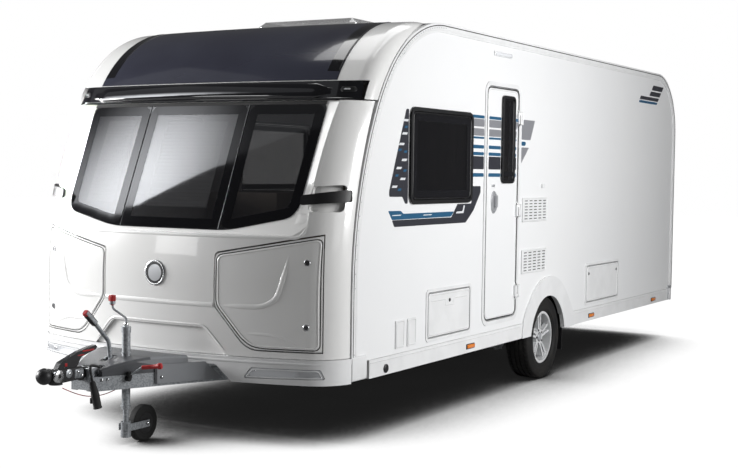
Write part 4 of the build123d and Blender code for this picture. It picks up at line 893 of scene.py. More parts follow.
# ---------------------------------------------------------------- the nose
@dataclass
class FrontMouldings:
    """Pressings, seals, locks and badge disc of the nose."""

    lid_edge: tuple = ((0.424, 1.078), (0.424, 0.795), (0.585, 0.607), (0.640, 0.568), (0.700, 0.556),
                       (1.031, 0.556), (1.031, 1.187))
    wave: tuple = ((0.425, 0.790), (0.700, 0.790), (0.790, 0.835), (0.830, 0.960), (0.860, 1.100))
    wedge: tuple = ((0.578, 0.640), (0.780, 0.634), (0.860, 0.612), (0.935, 0.574))
    locks: tuple = ((0.960, 1.050), (0.960, 0.685))
    crease: tuple = ((-0.404, 0.790), (0.404, 0.790))
    ridge: tuple = ((-0.490, 0.522), (-0.348, 0.672), (0.348, 0.672), (0.490, 0.522))
    screen_foot: tuple = ((0.952, 1.262), (0.913, 1.187), (-0.913, 1.187), (-0.952, 1.262))
    disc_at: tuple = (0.0, 0.957)
    bumper_ridge: tuple = ((-1.085, 0.478), (1.085, 0.478))
    lens: tuple = ((0.622, 0.393), (1.046, 0.401), (1.028, 0.441), (0.662, 0.438))
    reflector: tuple = ((0.900, 0.421), (1.030, 0.422))
    lens_screws: tuple = ((0.640, 0.400), (1.038, 0.408), (0.672, 0.432))
    cove_top: float = 1.968
    cove_drop: float = 0.70

    def lid(self, side: int) -> None:
        """Details one locker lid.

        Args:
            side: 1 for the left lid, -1 for the right one.
        """
        name, body = ("left", "locker_left") if side > 0 else ("right", "locker_right")
        skin = Skin(f"locker_lid_{name}", INTO_NOSE)
        turn = swung if side < 0 else list
        edge = rounded(turn(self.lid_edge), 0.035, 0.03, closed=True)
        middle = sum(edge, Vector((0, 0))) / len(edge)
        inner = [p + (middle - p).normalized() * 0.012 for p in edge]
        seal = Shape().ribbon(edge, skin, flat(0.006, 0.0008, 0.004), closed=True)
        seal.done(f"lid_seal_{name}", Paint.RUBBER, body)
        rim = Shape().ribbon(inner, skin, bead(0.012, 0.0026), closed=True)
        rim.done(f"lid_rim_{name}", Paint.SHELL, body)
        waves = Shape().ribbon(rounded(turn(self.wave), 0.09), skin, bead(0.030, 0.0055), fade=0.16)
        waves.ribbon(rounded(turn(self.wedge), 0.06), skin, bead(0.020, 0.0035), fade=0.12)
        waves.done(f"lid_pressing_{name}", Paint.SHELL, body)
        rims, barrels = Shape(), Shape()
        for x, z in self.locks:
            spot, normal = skin.at((side * x, z))
            rims.turned(((0.019, -0.002), (0.019, 0.0015), (0.0165, 0.004), (0.0125, 0.004), (0.0125, 0.001)),
                        spot, normal, 28)
            barrels.turned(((0.0124, 0.0), (0.0124, 0.0022), (0.004, 0.003), (0.0005, 0.003)), spot, normal, 28)
        rims.done(f"lid_lock_rims_{name}", Paint.BRIGHT, body)
        barrels.done(f"lid_lock_barrels_{name}", Paint.DARK_METAL, body)

    def panel(self) -> None:
        """Details the middle panel and the lip round the screen."""
        skin = Skin("front_panel", INTO_NOSE)
        lines = Shape().ribbon(straight(*self.crease), skin, bead(0.030, 0.0055))
        lines.ribbon(rounded(self.ridge, 0.04), skin, bead(0.014, 0.003), fade=0.05)
        lines.done("panel_pressing", Paint.SHELL)
        lip = Shape().ribbon(rounded(self.screen_foot, 0.05, 0.025), skin, bead(0.020, 0.0045), fade=0.06)
        lip.done("screen_lip", Paint.SHELL)
        for side, tag in SIDES:
            self.cove(side, tag, skin)

    def cove(self, side: int, tag: str, skin: Skin) -> None:
        """Fills the step beside the screen with a soft hollow moulding.

        Args:
            side: 1 for the left pillar, -1 for the right.
            tag: a word for the piece's name.
            skin: the nose's surface.
        """
        rings = []
        for k in range(31):
            z = self.cove_top - self.cove_drop * k / 30
            crest = 0.964 + 0.030 * max(0.0, (z - 1.5) / 0.468) + 0.004
            edge = 0.8975 - 0.018 * (1.96 - z) / 0.57
            if z < 1.39:
                edge -= 0.30 * (1.39 - z) ** 1.6
            (outer, _), (inner, _) = skin.at((side * crest, z)), skin.at((side * edge, z))
            front = []
            for i in range(9):
                t = i / 8
                point = outer.lerp(inner, t)
                blend = t * t * (3 - 2 * t)
                point.y = outer.y + (inner.y - outer.y) * blend - 0.001 * math.sin(math.pi * t) - 0.0006
                front.append(point)
            rings.append(front + [front[-1] + Vector((0, 0.006, 0)), front[0] + Vector((0, 0.012, 0))])
        Shape().loops(rings).done(f"pillar_cove_{tag}", Paint.SHELL)

    def badge(self) -> None:
        """Adds the plain round disc with its ring."""
        skin = Skin("front_panel", INTO_NOSE)
        spot, normal = skin.at(self.disc_at)
        ring = Shape().turned(
            ((0.075, -0.004), (0.075, 0.003), (0.0725, 0.0058), (0.0685, 0.0068), (0.0645, 0.0058),
             (0.0625, 0.003)),
            spot, normal, 72,
        )
        ring.done("disc_ring", Paint.BRIGHT)
        dish = Shape().turned(((0.063, -0.004), (0.063, 0.0032), (0.045, 0.0048), (0.020, 0.0056),
                               (0.0005, 0.0058)), spot, normal, 72)
        dish.done("disc_plate", Paint.SILVER_PLASTIC)
        band = Shape().turned(((0.0620, 0.0030), (0.0620, 0.0040), (0.0500, 0.0052), (0.0500, 0.0044)), spot,
                              normal, 72)
        band.done("disc_band", Paint.VENT_DARK)

    def bumper(self) -> None:
        """Adds the ridge and the lamp trims of the front bumper."""
        skin = Skin("bumpers", INTO_NOSE)
        ridge = Shape().ribbon(straight(*self.bumper_ridge, 0.03), skin, bead(0.018, 0.004), fade=0.2)
        ridge.done("bumper_ridge", Paint.TRIM)
        lamp = Skin("front_lamps", INTO_NOSE)
        rims, glass, screws = Shape(), Shape(), []
        for turn in (list, swung):
            rims.ribbon(rounded(turn(self.lens), 0.012, 0.03, closed=True), lamp, flat(0.005, 0.002),
                        closed=True)
            glass.ribbon(rounded(turn(self.reflector), 0.01, 0.02), lamp, flat(0.022, 0.003), fade=0.015)
            screws += [lamp.at(p)[0] for p in turn(self.lens_screws)]
        rims.done("lamp_rims", Paint.TRIM)
        glass.done("lamp_reflectors", Paint.SILVER_PLASTIC)
        Repeats().copies("lamp_screws", screws, (0.0035, 0.0025, 0.0035), Paint.BRIGHT, round_kind=True)

    def build(self) -> None:
        """Builds the nose details."""
        for side in (1, -1):
            self.lid(side)
        self.panel()
        self.badge()
        self.bumper()


@dataclass
class FrontGlazing:
    """Borders and blinds of the three front panes, lamp bar and sunroof trims."""

    side_pane: tuple = ((0.411, 1.253), (0.472, 1.257), (0.815, 1.327), (0.839, 1.380), (0.857, 1.926),
                        (0.411, 1.926))
    middle_pane: tuple = (-0.339, 0.339, 1.249, 1.927)
    split_x: float = 0.3703125
    border_width: float = 0.062
    film: float = 0.0008
    blind_depth: float = 0.020
    pleat: float = 0.0215
    visor: tuple = ((-0.048, -0.002), (-0.046, 0.010), (-0.040, 0.014), (0.030, 0.016), (0.040, 0.012),
                    (0.047, 0.004), (0.048, -0.002))
    visor_line: tuple = ((-0.905, 2.030), (0.0, 2.038), (0.905, 2.030))
    lip_line: tuple = ((-1.060, 1.987), (1.060, 1.987))
    lamp_socket: tuple = ((0.962, 2.040), (1.048, 2.042))
    lamp_lens: tuple = ((0.975, 2.041), (1.020, 2.042))
    seal_line: tuple = ((-0.885, 1.982), (0.885, 1.982))

    def panes(self) -> None:
        """Adds the printed borders and two lowered blinds."""
        skin = Skin("front_glass", INTO_NOSE)
        deep = Skin("front_glass", INTO_NOSE, lift=-self.blind_depth)
        border, blinds = Shape(), Shape()
        band, fold = flat(self.border_width, self.film), bead(self.pleat + 0.001, 0.003)
        border.ribbon(oblong(*self.middle_pane, 0.03), skin, band, closed=True)
        for turn in (list, swung):
            border.ribbon(rounded(turn(self.side_pane), 0.035, 0.03, closed=True), skin, band, closed=True)
        border.done("screen_borders", Paint.PRINT)
        for z in (1.36 + self.pleat * k for k in range(24)):
            blinds.ribbon(straight((-0.225, z), (0.235, z), 0.06), deep, fold)
            blinds.ribbon(straight((-0.74, z + 0.012), (-0.50, z + 0.012), 0.06), deep, fold)
        blinds.done("pleated_blinds", Paint.BLIND)
        splits = Shape()
        for x in (-self.split_x, self.split_x):
            splits.ribbon(straight((x, 1.222), (x, 1.956)), skin, bead(0.0030, 0.0012))
        splits.done("pane_edges", Paint.SILVER_PLASTIC)

    def bar(self) -> None:
        """Adds the lamp bar's raised middle, lips, end lamps and the seal below it."""
        skin = Skin("lamp_bar", INTO_NOSE)
        plate = Shape().ribbon(rounded(self.visor_line, 0.3, 0.02), skin, self.visor, fade=0.11)
        plate.ribbon(straight(*self.lip_line, 0.03), skin, bead(0.010, 0.004), fade=0.1)
        plate.done("bar_plate", Paint.PIANO)
        sockets, lenses = Shape(), Shape()
        for turn in (list, swung):
            sockets.ribbon(straight(*turn(self.lamp_socket), 0.01), skin, flat(0.036, 0.002), fade=0.01)
            lenses.ribbon(straight(*turn(self.lamp_lens), 0.01), skin, bead(0.014, 0.0045), fade=0.008)
        sockets.done("bar_lamp_sockets", Paint.BLACK)
        lenses.done("bar_lamp_lenses", Paint.CLEAR)
        seal = [(0.0, -0.034), (0.0, -0.018), (0.022, -0.018), (0.022, -0.034)]
        Shape().ribbon(straight(*self.seal_line, 0.03), skin, seal).done("screen_seal", Paint.RUBBER)

    def sunroof(self) -> None:
        """Adds the sunroof's edge bands and their seals."""
        skin = Skin("front_glass", DOWN)
        bands, seals = Shape(), Shape()
        for side in (1, -1):
            bands.ribbon(straight((side * 0.861, -2.200), (side * 0.861, -1.590), 0.03), skin,
                         flat(0.078, 0.0008))
            seals.ribbon(straight((side * 0.8985, -2.190), (side * 0.8985, -1.615), 0.03), skin,
                         bead(0.006, 0.002))
        bands.ribbon(straight((-0.84, -1.600), (0.84, -1.600), 0.05), skin, flat(0.05, 0.0008))
        bands.done("sunroof_bands", Paint.PIANO)
        seals.done("sunroof_seals", Paint.RUBBER)

    def build(self) -> None:
        """Builds the glazing trims."""
        self.panes()
        self.bar()
        self.sunroof()


# ---------------------------------------------------------------- the sides
def seam_curve(gap: float, low: float) -> list[tuple[float, float]]:
    """The side wall's outline in the side view, from the front foot over the roof to the rear foot.

    Args:
        gap: how far inside the wall's edge it runs.
        low: the height of both feet.

    Returns:
        (y, z) points.
    """
    points = [(-2.400 + gap, low)]
    middle, turn = Vector((-0.100, 0.900)), 0.0
    for radius, sweep in ((2.300, 27), (1.300, 11), (0.9123, 52)):
        start = math.radians(turn)
        if turn:
            was = previous - radius
            middle = middle + Vector((-math.cos(start), math.sin(start))) * was
        for k in range(sweep // 2 + 1):
            a = start + math.radians(sweep) * k / (sweep // 2)
            points.append((middle.x - math.cos(a) * (radius - gap), middle.y + math.sin(a) * (radius - gap)))
        turn, previous = turn + sweep, radius
    for k in range(16):
        a = math.radians(90) * k / 15
        points.append((3.100 + math.sin(a) * (0.550 - gap), 1.955 + math.cos(a) * (0.550 - gap)))
    points.append((3.650 - gap, low))
    return points


@dataclass
class SideTrim:
    """Window frames, seam lines, markers, vents and hatch trims of both sides."""

    left_window: tuple = (-1.750, -0.878, 1.369, 1.967)
    right_windows: tuple = ((-1.750, -0.878, 1.369, 1.967), (-0.420, 0.620, 1.369, 1.967),
                            (2.350, 2.950, 1.369, 1.967))
    hatches: tuple = (
        ("hatch_front", "hatch_a", 1, (-1.499, -0.846, 0.492, 0.827)),
        ("hatch_rear", "hatch_b", 1, (1.297, 2.112, 0.491, 0.837)),
        ("hatch_cassette", "hatch_c", -1, (2.480, 2.880, 0.560, 0.880)),
        ("hatch_service", "hatch_d", -1, (-1.300, -0.880, 0.560, 0.900)),
    )
    plates: tuple = (
        (-0.022, 0.441, 1.212, 1.392), (-0.022, 0.441, 0.832, 1.011), (-1.892, -1.782, 0.497, 0.669),
        (-1.743, -1.633, 0.497, 0.669),
    )
    slot_foot: float = 0.038
    slot_pitch: tuple = (0.086, 0.0218)
    markers: tuple = (-0.853, 1.442, 3.091)
    marker_height: float = 0.400
    skirt_beads: tuple = ((-2.19, 0.02), (1.07, 3.53))
    bead_height: float = 0.448

    def window(self, size: Sequence[float], side: int, tag: str) -> None:
        """Frames one cabin window.

        Args:
            size: its y and z limits.
            side: 1 for the left side, -1 for the right.
            tag: a word for the piece names.
        """
        skin = Skin("cabin_windows", (-side, 0, 0))
        ring = Shape().ribbon(inset(size, 0.013, 0.05), skin, flat(0.022, 0.005), closed=True)
        ring.ribbon(inset(size, 0.034, 0.04), skin, bead(0.008, 0.0025), closed=True)
        ring.done(f"window_frame_{tag}", Paint.BLACK)
        band = Shape().ribbon(inset(size, 0.062, 0.03), skin, flat(0.042, 0.0008), closed=True)
        band.done(f"window_border_{tag}", Paint.PIANO)

    def rails(self) -> None:
        """Adds the dark lines along the seam rails."""
        for side, tag in SIDES:
            skin = Skin("awning_rails", (-side, 0, 0))
            inner, outer = Shape(), Shape()
            outer.ribbon(rounded(seam_curve(0.008, 0.50), 0.0, 0.06), skin, flat(0.006, 0.0012))
            inner.ribbon(rounded(seam_curve(0.036, 0.50), 0.0, 0.06), skin, bead(0.012, 0.003))
            outer.done(f"seam_line_{tag}", Paint.RUBBER)
            inner.done(f"rail_bead_{tag}", Paint.TRIM)
            screws = [skin.at(p)[0] for p in rounded(seam_curve(0.022, 0.52), 0.0, 9.0)[::2]]
            Repeats().copies(f"rail_screws_{tag}", screws, (0.002, 0.0035, 0.0035), Paint.SILVER_PLASTIC,
                             round_kind=True)

    def vents(self) -> None:
        """Adds the slots of the two wall vents as dark blocks, painted shade in their openings, with lips under
        them, and the rims of all four plates.
        """
        skin = Skin("wall_vents", INTO_LEFT)
        slots, lips = [], []
        along, down = self.slot_pitch
        for top in (1.367, 0.986):
            for row in range(7):
                for column in range(5):
                    spot, _ = skin.at((self.slot_foot + column * along, top - row * down))
                    slots.append(spot)
                    lips.append(spot + Vector((0.0005, 0.0, -0.0058)))
        # Dark blocks on the vent faces stand for the slot openings: painted shade.
        Repeats().copies("vent_slots", slots, (0.0016, 0.052, 0.0062), Paint.VENT_DARK)
        Repeats().copies("vent_lips", lips, (0.005, 0.056, 0.0036), Paint.TRIM)
        rims = Shape()
        for size in self.plates:
            rims.ribbon(inset(size, 0.009, 0.012), skin, bead(0.008, 0.003), closed=True)
        rims.done("vent_rims", Paint.TRIM)

    def hatch(self, node: str, body: str, side: int, size: Sequence[float]) -> None:
        """Details one service hatch.

        Args:
            node: its CAD node.
            body: the body that carries it.
            side: 1 for the left side, -1 for the right.
            size: its y and z limits.
        """
        (y0, y1, _, z1), notch, front_lid = size, 0.06, side > 0 and size[0] < 0
        skin = Skin(node, (-side, 0, 0))
        ring = Shape().ribbon(inset(size, 0.040, 0.03), skin, bead(0.010, 0.003), closed=True)
        ring.done(f"{node}_rim", Paint.TRIM, body)
        dark = Shape().ribbon(inset(size, 0.0285, 0.025), skin, flat(0.003, 0.0006), closed=True)
        dark.done(f"{node}_seal", Paint.GREY, body)
        middle, top, low = (y0 + y1) / 2, z1 - 0.078, z1 - 0.118
        if front_lid:
            line = ((y0 + 0.075, top), (middle - notch, top), (middle - notch, low), (middle + notch, low),
                    (middle + notch, top), (y1 - 0.075, top))
            step = Shape().ribbon(rounded(line, 0.01), skin, bead(0.010, 0.003))
            step.done(f"{node}_step", Paint.TRIM, body)
            spots = (middle,)
        else:
            spots = (y0 + 0.075, y1 - 0.075)
        locks = Shape()
        for y in spots:
            spot, normal = skin.at((y, z1 - 0.088))
            locks.turned(((0.012, -0.002), (0.012, 0.002), (0.010, 0.004), (0.0005, 0.004)), spot, normal, 24)
        locks.done(f"{node}_locks", Paint.DARK_METAL, body)

    def fittings(self) -> None:
        """Adds markers, awning lamp, socket, end caps, the door catch and the skirts' beads."""
        glass, bases = Shape(), Shape()
        for y in self.markers:
            for side in (1, -1):
                glass.block((side * 1.1385, y, self.marker_height), (0.014, 0.112, 0.026), 0.005)
                bases.block((side * 1.1345, y, self.marker_height), (0.010, 0.124, 0.036), 0.004)
        glass.done("side_markers", Paint.AMBER)
        bases.done("marker_bases", Paint.BLACK)
        Shape().block((1.1400, -0.4075, 2.392), (0.016, 0.272, 0.024), 0.006).done("awning_lamp", Paint.CLEAR)
        base = Shape().block((1.1335, -0.4075, 2.392), (0.012, 0.289, 0.034), 0.004)
        base.done("awning_lamp_base", Paint.TRIM)
        cap = ((0.026, -0.01), (0.026, 0.006), (0.022, 0.009), (0.0005, 0.009))
        socket = Shape().turned(cap, (1.134, -2.007, 0.396), (1, 0, 0), 30)
        socket.done("side_socket", Paint.BLACK)
        caps = Shape().block((1.1280, -2.322, 0.437), (0.030, 0.168, 0.142), 0.010).mirrored()
        caps.done("skirt_end_caps", Paint.TRIM)
        tails = Shape().block((1.1270, 3.590, 0.430), (0.026, 0.100, 0.136), 0.010).mirrored()
        tails.done("rear_corner_blocks", Paint.SILVER_PLASTIC)
        Shape().block((1.1370, 0.354, 1.477), (0.016, 0.050, 0.030), 0.004).done("door_catch", Paint.TRIM)
        seams = Shape()
        for side in (1, -1):
            skin = Skin("skirts", (-side, 0, 0))
            for start, end in self.skirt_beads:
                path = straight((start, self.bead_height), (end, self.bead_height), 0.1)
                seams.ribbon(path, skin, bead(0.008, 0.0025))
        seams.done("skirt_beads", Paint.TRIM)

    def build(self) -> None:
        """Builds the trims of both sides."""
        self.window(self.left_window, 1, "left")
        for index, size in enumerate(self.right_windows):
            self.window(size, -1, f"right_{index}")
        self.rails()
        self.vents()
        for hatch in self.hatches:
            self.hatch(*hatch)
        self.fittings()


@dataclass
class EntranceDoor:
    """Rim, seal, window frame and handle of the entrance door."""

    body: str = "door"
    leaf: tuple = (-0.642, -0.117, 0.547, 2.161)
    pane: tuple = (-0.412, -0.192, 1.495, 2.112)
    handle: tuple = (-0.519, 1.365)
    handle_half: tuple = (0.044, 0.078)

    def ovals(self, steps: Sequence[tuple[float, float]]) -> Shape:
        """Stacks ovals round the handle's axis.

        Args:
            steps: the distance from the middle plane and the scale of each oval.

        Returns:
            The shape.
        """
        (y, z), (half_y, half_z) = self.handle, self.handle_half
        return Shape().loops(
            [[Vector((x, y + half_y * s * math.cos(a),
                      z + half_z * s * math.sin(a))) for a in full_turn(48)] for x, s in steps]
        )

    def build(self) -> None:
        """Builds the door's trims."""
        skin = Skin("entrance_door", INTO_LEFT)
        edge = Shape().ribbon(inset(self.leaf, 0.016, 0.06), skin, bead(0.010, 0.003), closed=True)
        edge.done("door_rim", Paint.TRIM, self.body)
        seam = Shape().ribbon(inset(self.leaf, 0.0045, 0.0555), skin, flat(0.0085, 0.0008), closed=True)
        seam.done("door_seal", Paint.RUBBER, self.body)
        pane = Skin("door_window", INTO_LEFT)
        frame_ring = Shape().ribbon(inset(self.pane, 0.012, 0.03), pane, flat(0.020, 0.006), closed=True)
        frame_ring.ribbon(inset(self.pane, 0.031, 0.02), pane, bead(0.006, 0.002), closed=True)
        frame_ring.done("door_window_frame", Paint.BLACK, self.body)
        foot = Shape().ribbon(straight((-0.378, 1.562), (-0.226, 1.562), 0.03), pane, flat(0.030, 0.004))
        foot.done("door_window_foot", Paint.PIANO, self.body)
        skirt = self.ovals(((1.1318, 1.0), (1.1375, 1.0), (1.1395, 0.95)))
        skirt.done("handle_ring", Paint.SILVER_PLASTIC, self.body)
        dish = self.ovals(((1.1390, 0.90), (1.1402, 0.90), (1.1412, 0.84)))
        dish.done("handle_dish", Paint.PALE_GREY, self.body)
        striker = Shape().block((1.1360, -0.534, 1.480), (0.010, 0.040, 0.018), 0.004)
        striker.done("door_striker", Paint.SILVER_PLASTIC, self.body)


@dataclass
class Decals:
    """Plain stripes and slanted dashes on the left side."""

    lift: float = 0.0008
    lean: float = 0.012
    columns: tuple = (("wall", -0.868, -0.684, "root"), ("door", -0.611, -0.416, "door"),
                      ("edge", -0.188, -0.146, "door"))
    bands: tuple = (
        ("thin", 1.936, 1.957, Paint.BLUE), ("weave", 1.880, 1.932, Paint.SILVER),
        ("weave_low", 1.818, 1.868, Paint.SILVER), ("line", 1.798, 1.812, Paint.BLUE),
        ("blue", 1.732, 1.756, Paint.BLUE), ("blue_low", 1.686, 1.708, Paint.BLUE),
        ("dark", 1.592, 1.680, Paint.CHARCOAL), ("foot", 1.541, 1.566, Paint.BLUE),
    )
    front_films: tuple = (
        ("film_block", ((-1.757, 1.950), (-1.790, 1.950), (-1.990, 1.450), (-1.986, 1.418), (-1.826, 1.416),
                        (-1.790, 1.374), (-1.757, 1.374)), Paint.CHARCOAL, 0),
        ("film_band", ((-1.998, 1.334), (-1.842, 1.332), (-1.812, 1.314), (-1.125, 1.314), (-1.165, 1.281),
                       (-1.950, 1.279)), Paint.BLUE, 0),
        ("film_foot", ((-1.950, 1.277), (-1.922, 1.236), (-0.950, 1.236), (-0.833, 1.314), (-0.727, 1.434),
                       (-0.727, 1.478), (-0.866, 1.478), (-0.866, 1.362), (-1.075, 1.362), (-1.160, 1.277)),
                       Paint.CHARCOAL, 0),
        ("film_foot_line", ((-1.100, 1.300), (-0.985, 1.300), (-0.965, 1.352), (-0.985, 1.352),
                            (-1.000, 1.314), (-1.085, 1.312)), Paint.PALE_FILM, 1),
    )
    front_dashes: tuple = (
        ("film_dashes_pale", ((-1.800, 1.880), (-1.812, 1.800), (-1.850, 1.735), (-1.815, 1.640),
                              (-1.880, 1.590), (-1.830, 1.525), (-1.930, 1.478)), 0.060, 0.014,
                              Paint.PALE_FILM),
        ("film_dashes_blue", ((-1.795, 1.840), (-1.870, 1.700), (-1.800, 1.690), (-1.905, 1.545),
                              (-1.805, 1.575), (-1.870, 1.460)), 0.036, 0.014, Paint.BLUE),
        ("film_band_gloss", ((-1.900, 1.306), (-1.500, 1.300)), 0.110, 0.006, Paint.PALE_FILM),
    )
    rear_films: tuple = (
        ("tip_upper", ((-0.050, 1.812), (0.112, 1.812), (0.190, 1.957), (-0.050, 1.957)), Paint.SILVER),
        ("tip_line", ((-0.050, 1.798), (0.020, 1.798), (0.030, 1.786), (0.014, 1.768), (-0.050, 1.768)),
         Paint.BLUE),
        ("tip_lower", ((-0.050, 1.640), (0.086, 1.756), (-0.050, 1.756)), Paint.SILVER),
        ("rear_film_high", ((2.960, 2.396), (3.270, 2.396), (3.215, 2.350), (2.915, 2.350)), Paint.CHARCOAL),
        ("rear_film_mid", ((2.895, 2.338), (3.200, 2.338), (3.150, 2.296), (2.850, 2.296)), Paint.CHARCOAL),
        ("rear_film_low", ((2.610, 2.284), (3.135, 2.284), (3.100, 2.252), (2.575, 2.252)), Paint.CHARCOAL),
        ("rear_film_foot", ((2.570, 2.244), (3.090, 2.244), (3.068, 2.222), (2.560, 2.222)), Paint.BLUE),
    )

    def wall(self, name: str, outline: Sequence[Sequence[float]], paint: Paint, layer: int = 0,
             body: str = "root") -> None:
        """Lays one flat film on the wall or the door.

        Args:
            name: the piece's name.
            outline: its (y, z) corners.
            paint: its colour.
            layer: how many films lie under it.
            body: the body that carries it.
        """
        skin = Skin("side_walls" if body == "root" else "entrance_door", INTO_LEFT)
        corners = rounded(outline, 0.010, 1.0, closed=True)
        film = Shape().sheet(corners, skin, self.lift * (1 + layer), 0.0003)
        film.done(name, paint, body)

    def dashes(self, name: str, spots: Sequence[Sequence[float]], length: float, width: float,
               paint: Paint) -> None:
        """Lays slanted dashes on the left block.

        Args:
            name: the piece's name.
            spots: the (y, z) middles.
            length: the dashes' length.
            width: their width.
            paint: their colour.
        """
        skin = Skin("side_walls", INTO_LEFT)
        shape = Shape()
        for y, z in spots:
            lean, half, w = self.lean, length / 2, width / 2
            slant = [(y - half, z - w), (y + half, z - w), (y + half + lean, z + w), (y - half + lean, z + w)]
            shape.sheet(slant, skin, self.lift * 2, 0.0003)
        shape.done(name, paint)

    def stripes(self) -> None:
        """Lays the stripes between window, door and the pointed tip."""
        for tag, z0, z1, paint in self.bands:
            for place, y0, y1, body in self.columns:
                self.wall(f"stripe_{tag}_{place}", ((y0, z0), (y1, z0), (y1, z1), (y0, z1)), paint, body=body)

    def build(self) -> None:
        """Lays all films."""
        for film in self.front_films:
            self.wall(*film)
        for dashes in self.front_dashes:
            self.dashes(*dashes)
        self.stripes()
        for film in self.rear_films:
            self.wall(*film)


# ---------------------------------------------------------------- wheels and drawbar
@dataclass
class Wheels:
    """Grooved tyres, centre caps and bolts of the road wheels, and the jockey tyre's ribs."""

    hub_x: float = 1.020
    hub_y: float = 0.490
    hub_z: float = 0.315
    tyre_half: tuple = (
        (0.1985, -0.07), (0.203, -0.084), (0.215, -0.0935), (0.245, -0.0975), (0.262, -0.0975),
        (0.266, -0.096), (0.29, -0.0935), (0.304, -0.086), (0.3115, -0.076), (0.3135, -0.062),
        (0.314, -0.0585), (0.3075, -0.057), (0.3075, -0.051), (0.3145, -0.0495), (0.315, -0.023),
        (0.3085, -0.0215), (0.3085, -0.0135), (0.315, -0.012),
    )
    groove_depth: float = 0.0045
    bolt_circle: float = 0.054
    jockey_hub: tuple = (0.062, -2.945, 0.105)

    def tyre(self, side: int) -> None:
        """Builds one road tyre with its grooves and puts it in the CAD tyre's place.

        Args:
            side: 1 for the left wheel, -1 for the right.
        """
        tag = "left" if side > 0 else "right"
        body = f"wheel_{tag}"
        centre = Vector((side * self.hub_x, self.hub_y, self.hub_z))
        profile = [*self.tyre_half, *((radius, -across) for radius, across in reversed(self.tyre_half))]
        rings = []
        for k, a in enumerate(full_turn(180)):
            way = Vector((0.0, math.cos(a), math.sin(a)))
            ring = []
            for radius, across in profile:
                cut = self.groove_depth if k % 3 == 0 and radius > 0.310 and abs(across) > 0.024 else 0.0
                ring.append(centre + way * (radius - cut) + Vector((across, 0.0, 0.0)))
            rings.append(ring)
        paint = Paint.TYRE_LEFT if side > 0 else Paint.TYRE_RIGHT
        made = Shape().loops(rings, closed=True).done(f"grooved_tyre_{tag}", paint, body, 30.0)
        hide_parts(f"tyre_{tag}")

    def rim(self, side: int) -> None:
        """Adds one rim's cap, its ring and the bolts.

        Args:
            side: 1 for the left wheel, -1 for the right.
        """
        tag = "left" if side > 0 else "right"
        body = f"wheel_{tag}"
        skin = Skin(f"rim_{tag}", (-side, 0, 0))
        face, normal = skin.at((self.hub_y, self.hub_z))
        axis = (side, 0, 0)
        cap = Shape().turned(((0.031, -0.004), (0.031, 0.003), (0.028, 0.006), (0.018, 0.0075),
                              (0.0005, 0.008)), face, axis, 40)
        cap.done(f"hub_cap_{tag}", Paint.SILVER_PLASTIC, body)
        band = Shape().turned(((0.036, -0.003), (0.036, 0.0015), (0.0335, 0.0035), (0.0315, 0.0015),
                               (0.0315, -0.003)), face, axis, 40)
        band.done(f"hub_ring_{tag}", Paint.DARK_METAL, body)
        bolts = []
        for a in full_turn(5, 0.5):
            spot, _ = skin.at((self.hub_y + self.bolt_circle * math.cos(a),
                               self.hub_z + self.bolt_circle * math.sin(a)))
            bolts.append(spot + normal * 0.001)
        Repeats().copies(f"wheel_bolts_{tag}", bolts, (0.006, 0.009, 0.009), Paint.DARK_METAL, body,
                         round_kind=True)

    def build(self) -> None:
        """Builds the wheels' details."""
        for side in (1, -1):
            self.tyre(side)
            self.rim(side)
        hub = Vector(self.jockey_hub)
        ribs = Shape()
        for across in (-0.016, 0.0, 0.016):
            rib = ((0.1030, -0.003), (0.1048, -0.002), (0.1048, 0.002), (0.1030, 0.003))
            ribs.turned(rib, hub + Vector((across, 0, 0)), (1, 0, 0), 90)
        ribs.done("jockey_ribs", Paint.CASTER_TYRE, "jockey_roller")
        discs, nuts = Shape(), []
        for side in (1, -1):
            face = ((0.058, 0.022), (0.058, 0.0252), (0.040, 0.0262), (0.020, 0.0262), (0.018, 0.0252))
            discs.turned(face, hub, (side, 0, 0), 48)
            nuts.append(hub + Vector((side * 0.040, 0, 0)))
        discs.done("jockey_discs", Paint.BLACK, "jockey_roller")
        Repeats().copies("jockey_nuts", nuts, (0.006, 0.011, 0.011), Paint.BRIGHT, "jockey_caster",
                         round_kind=True)


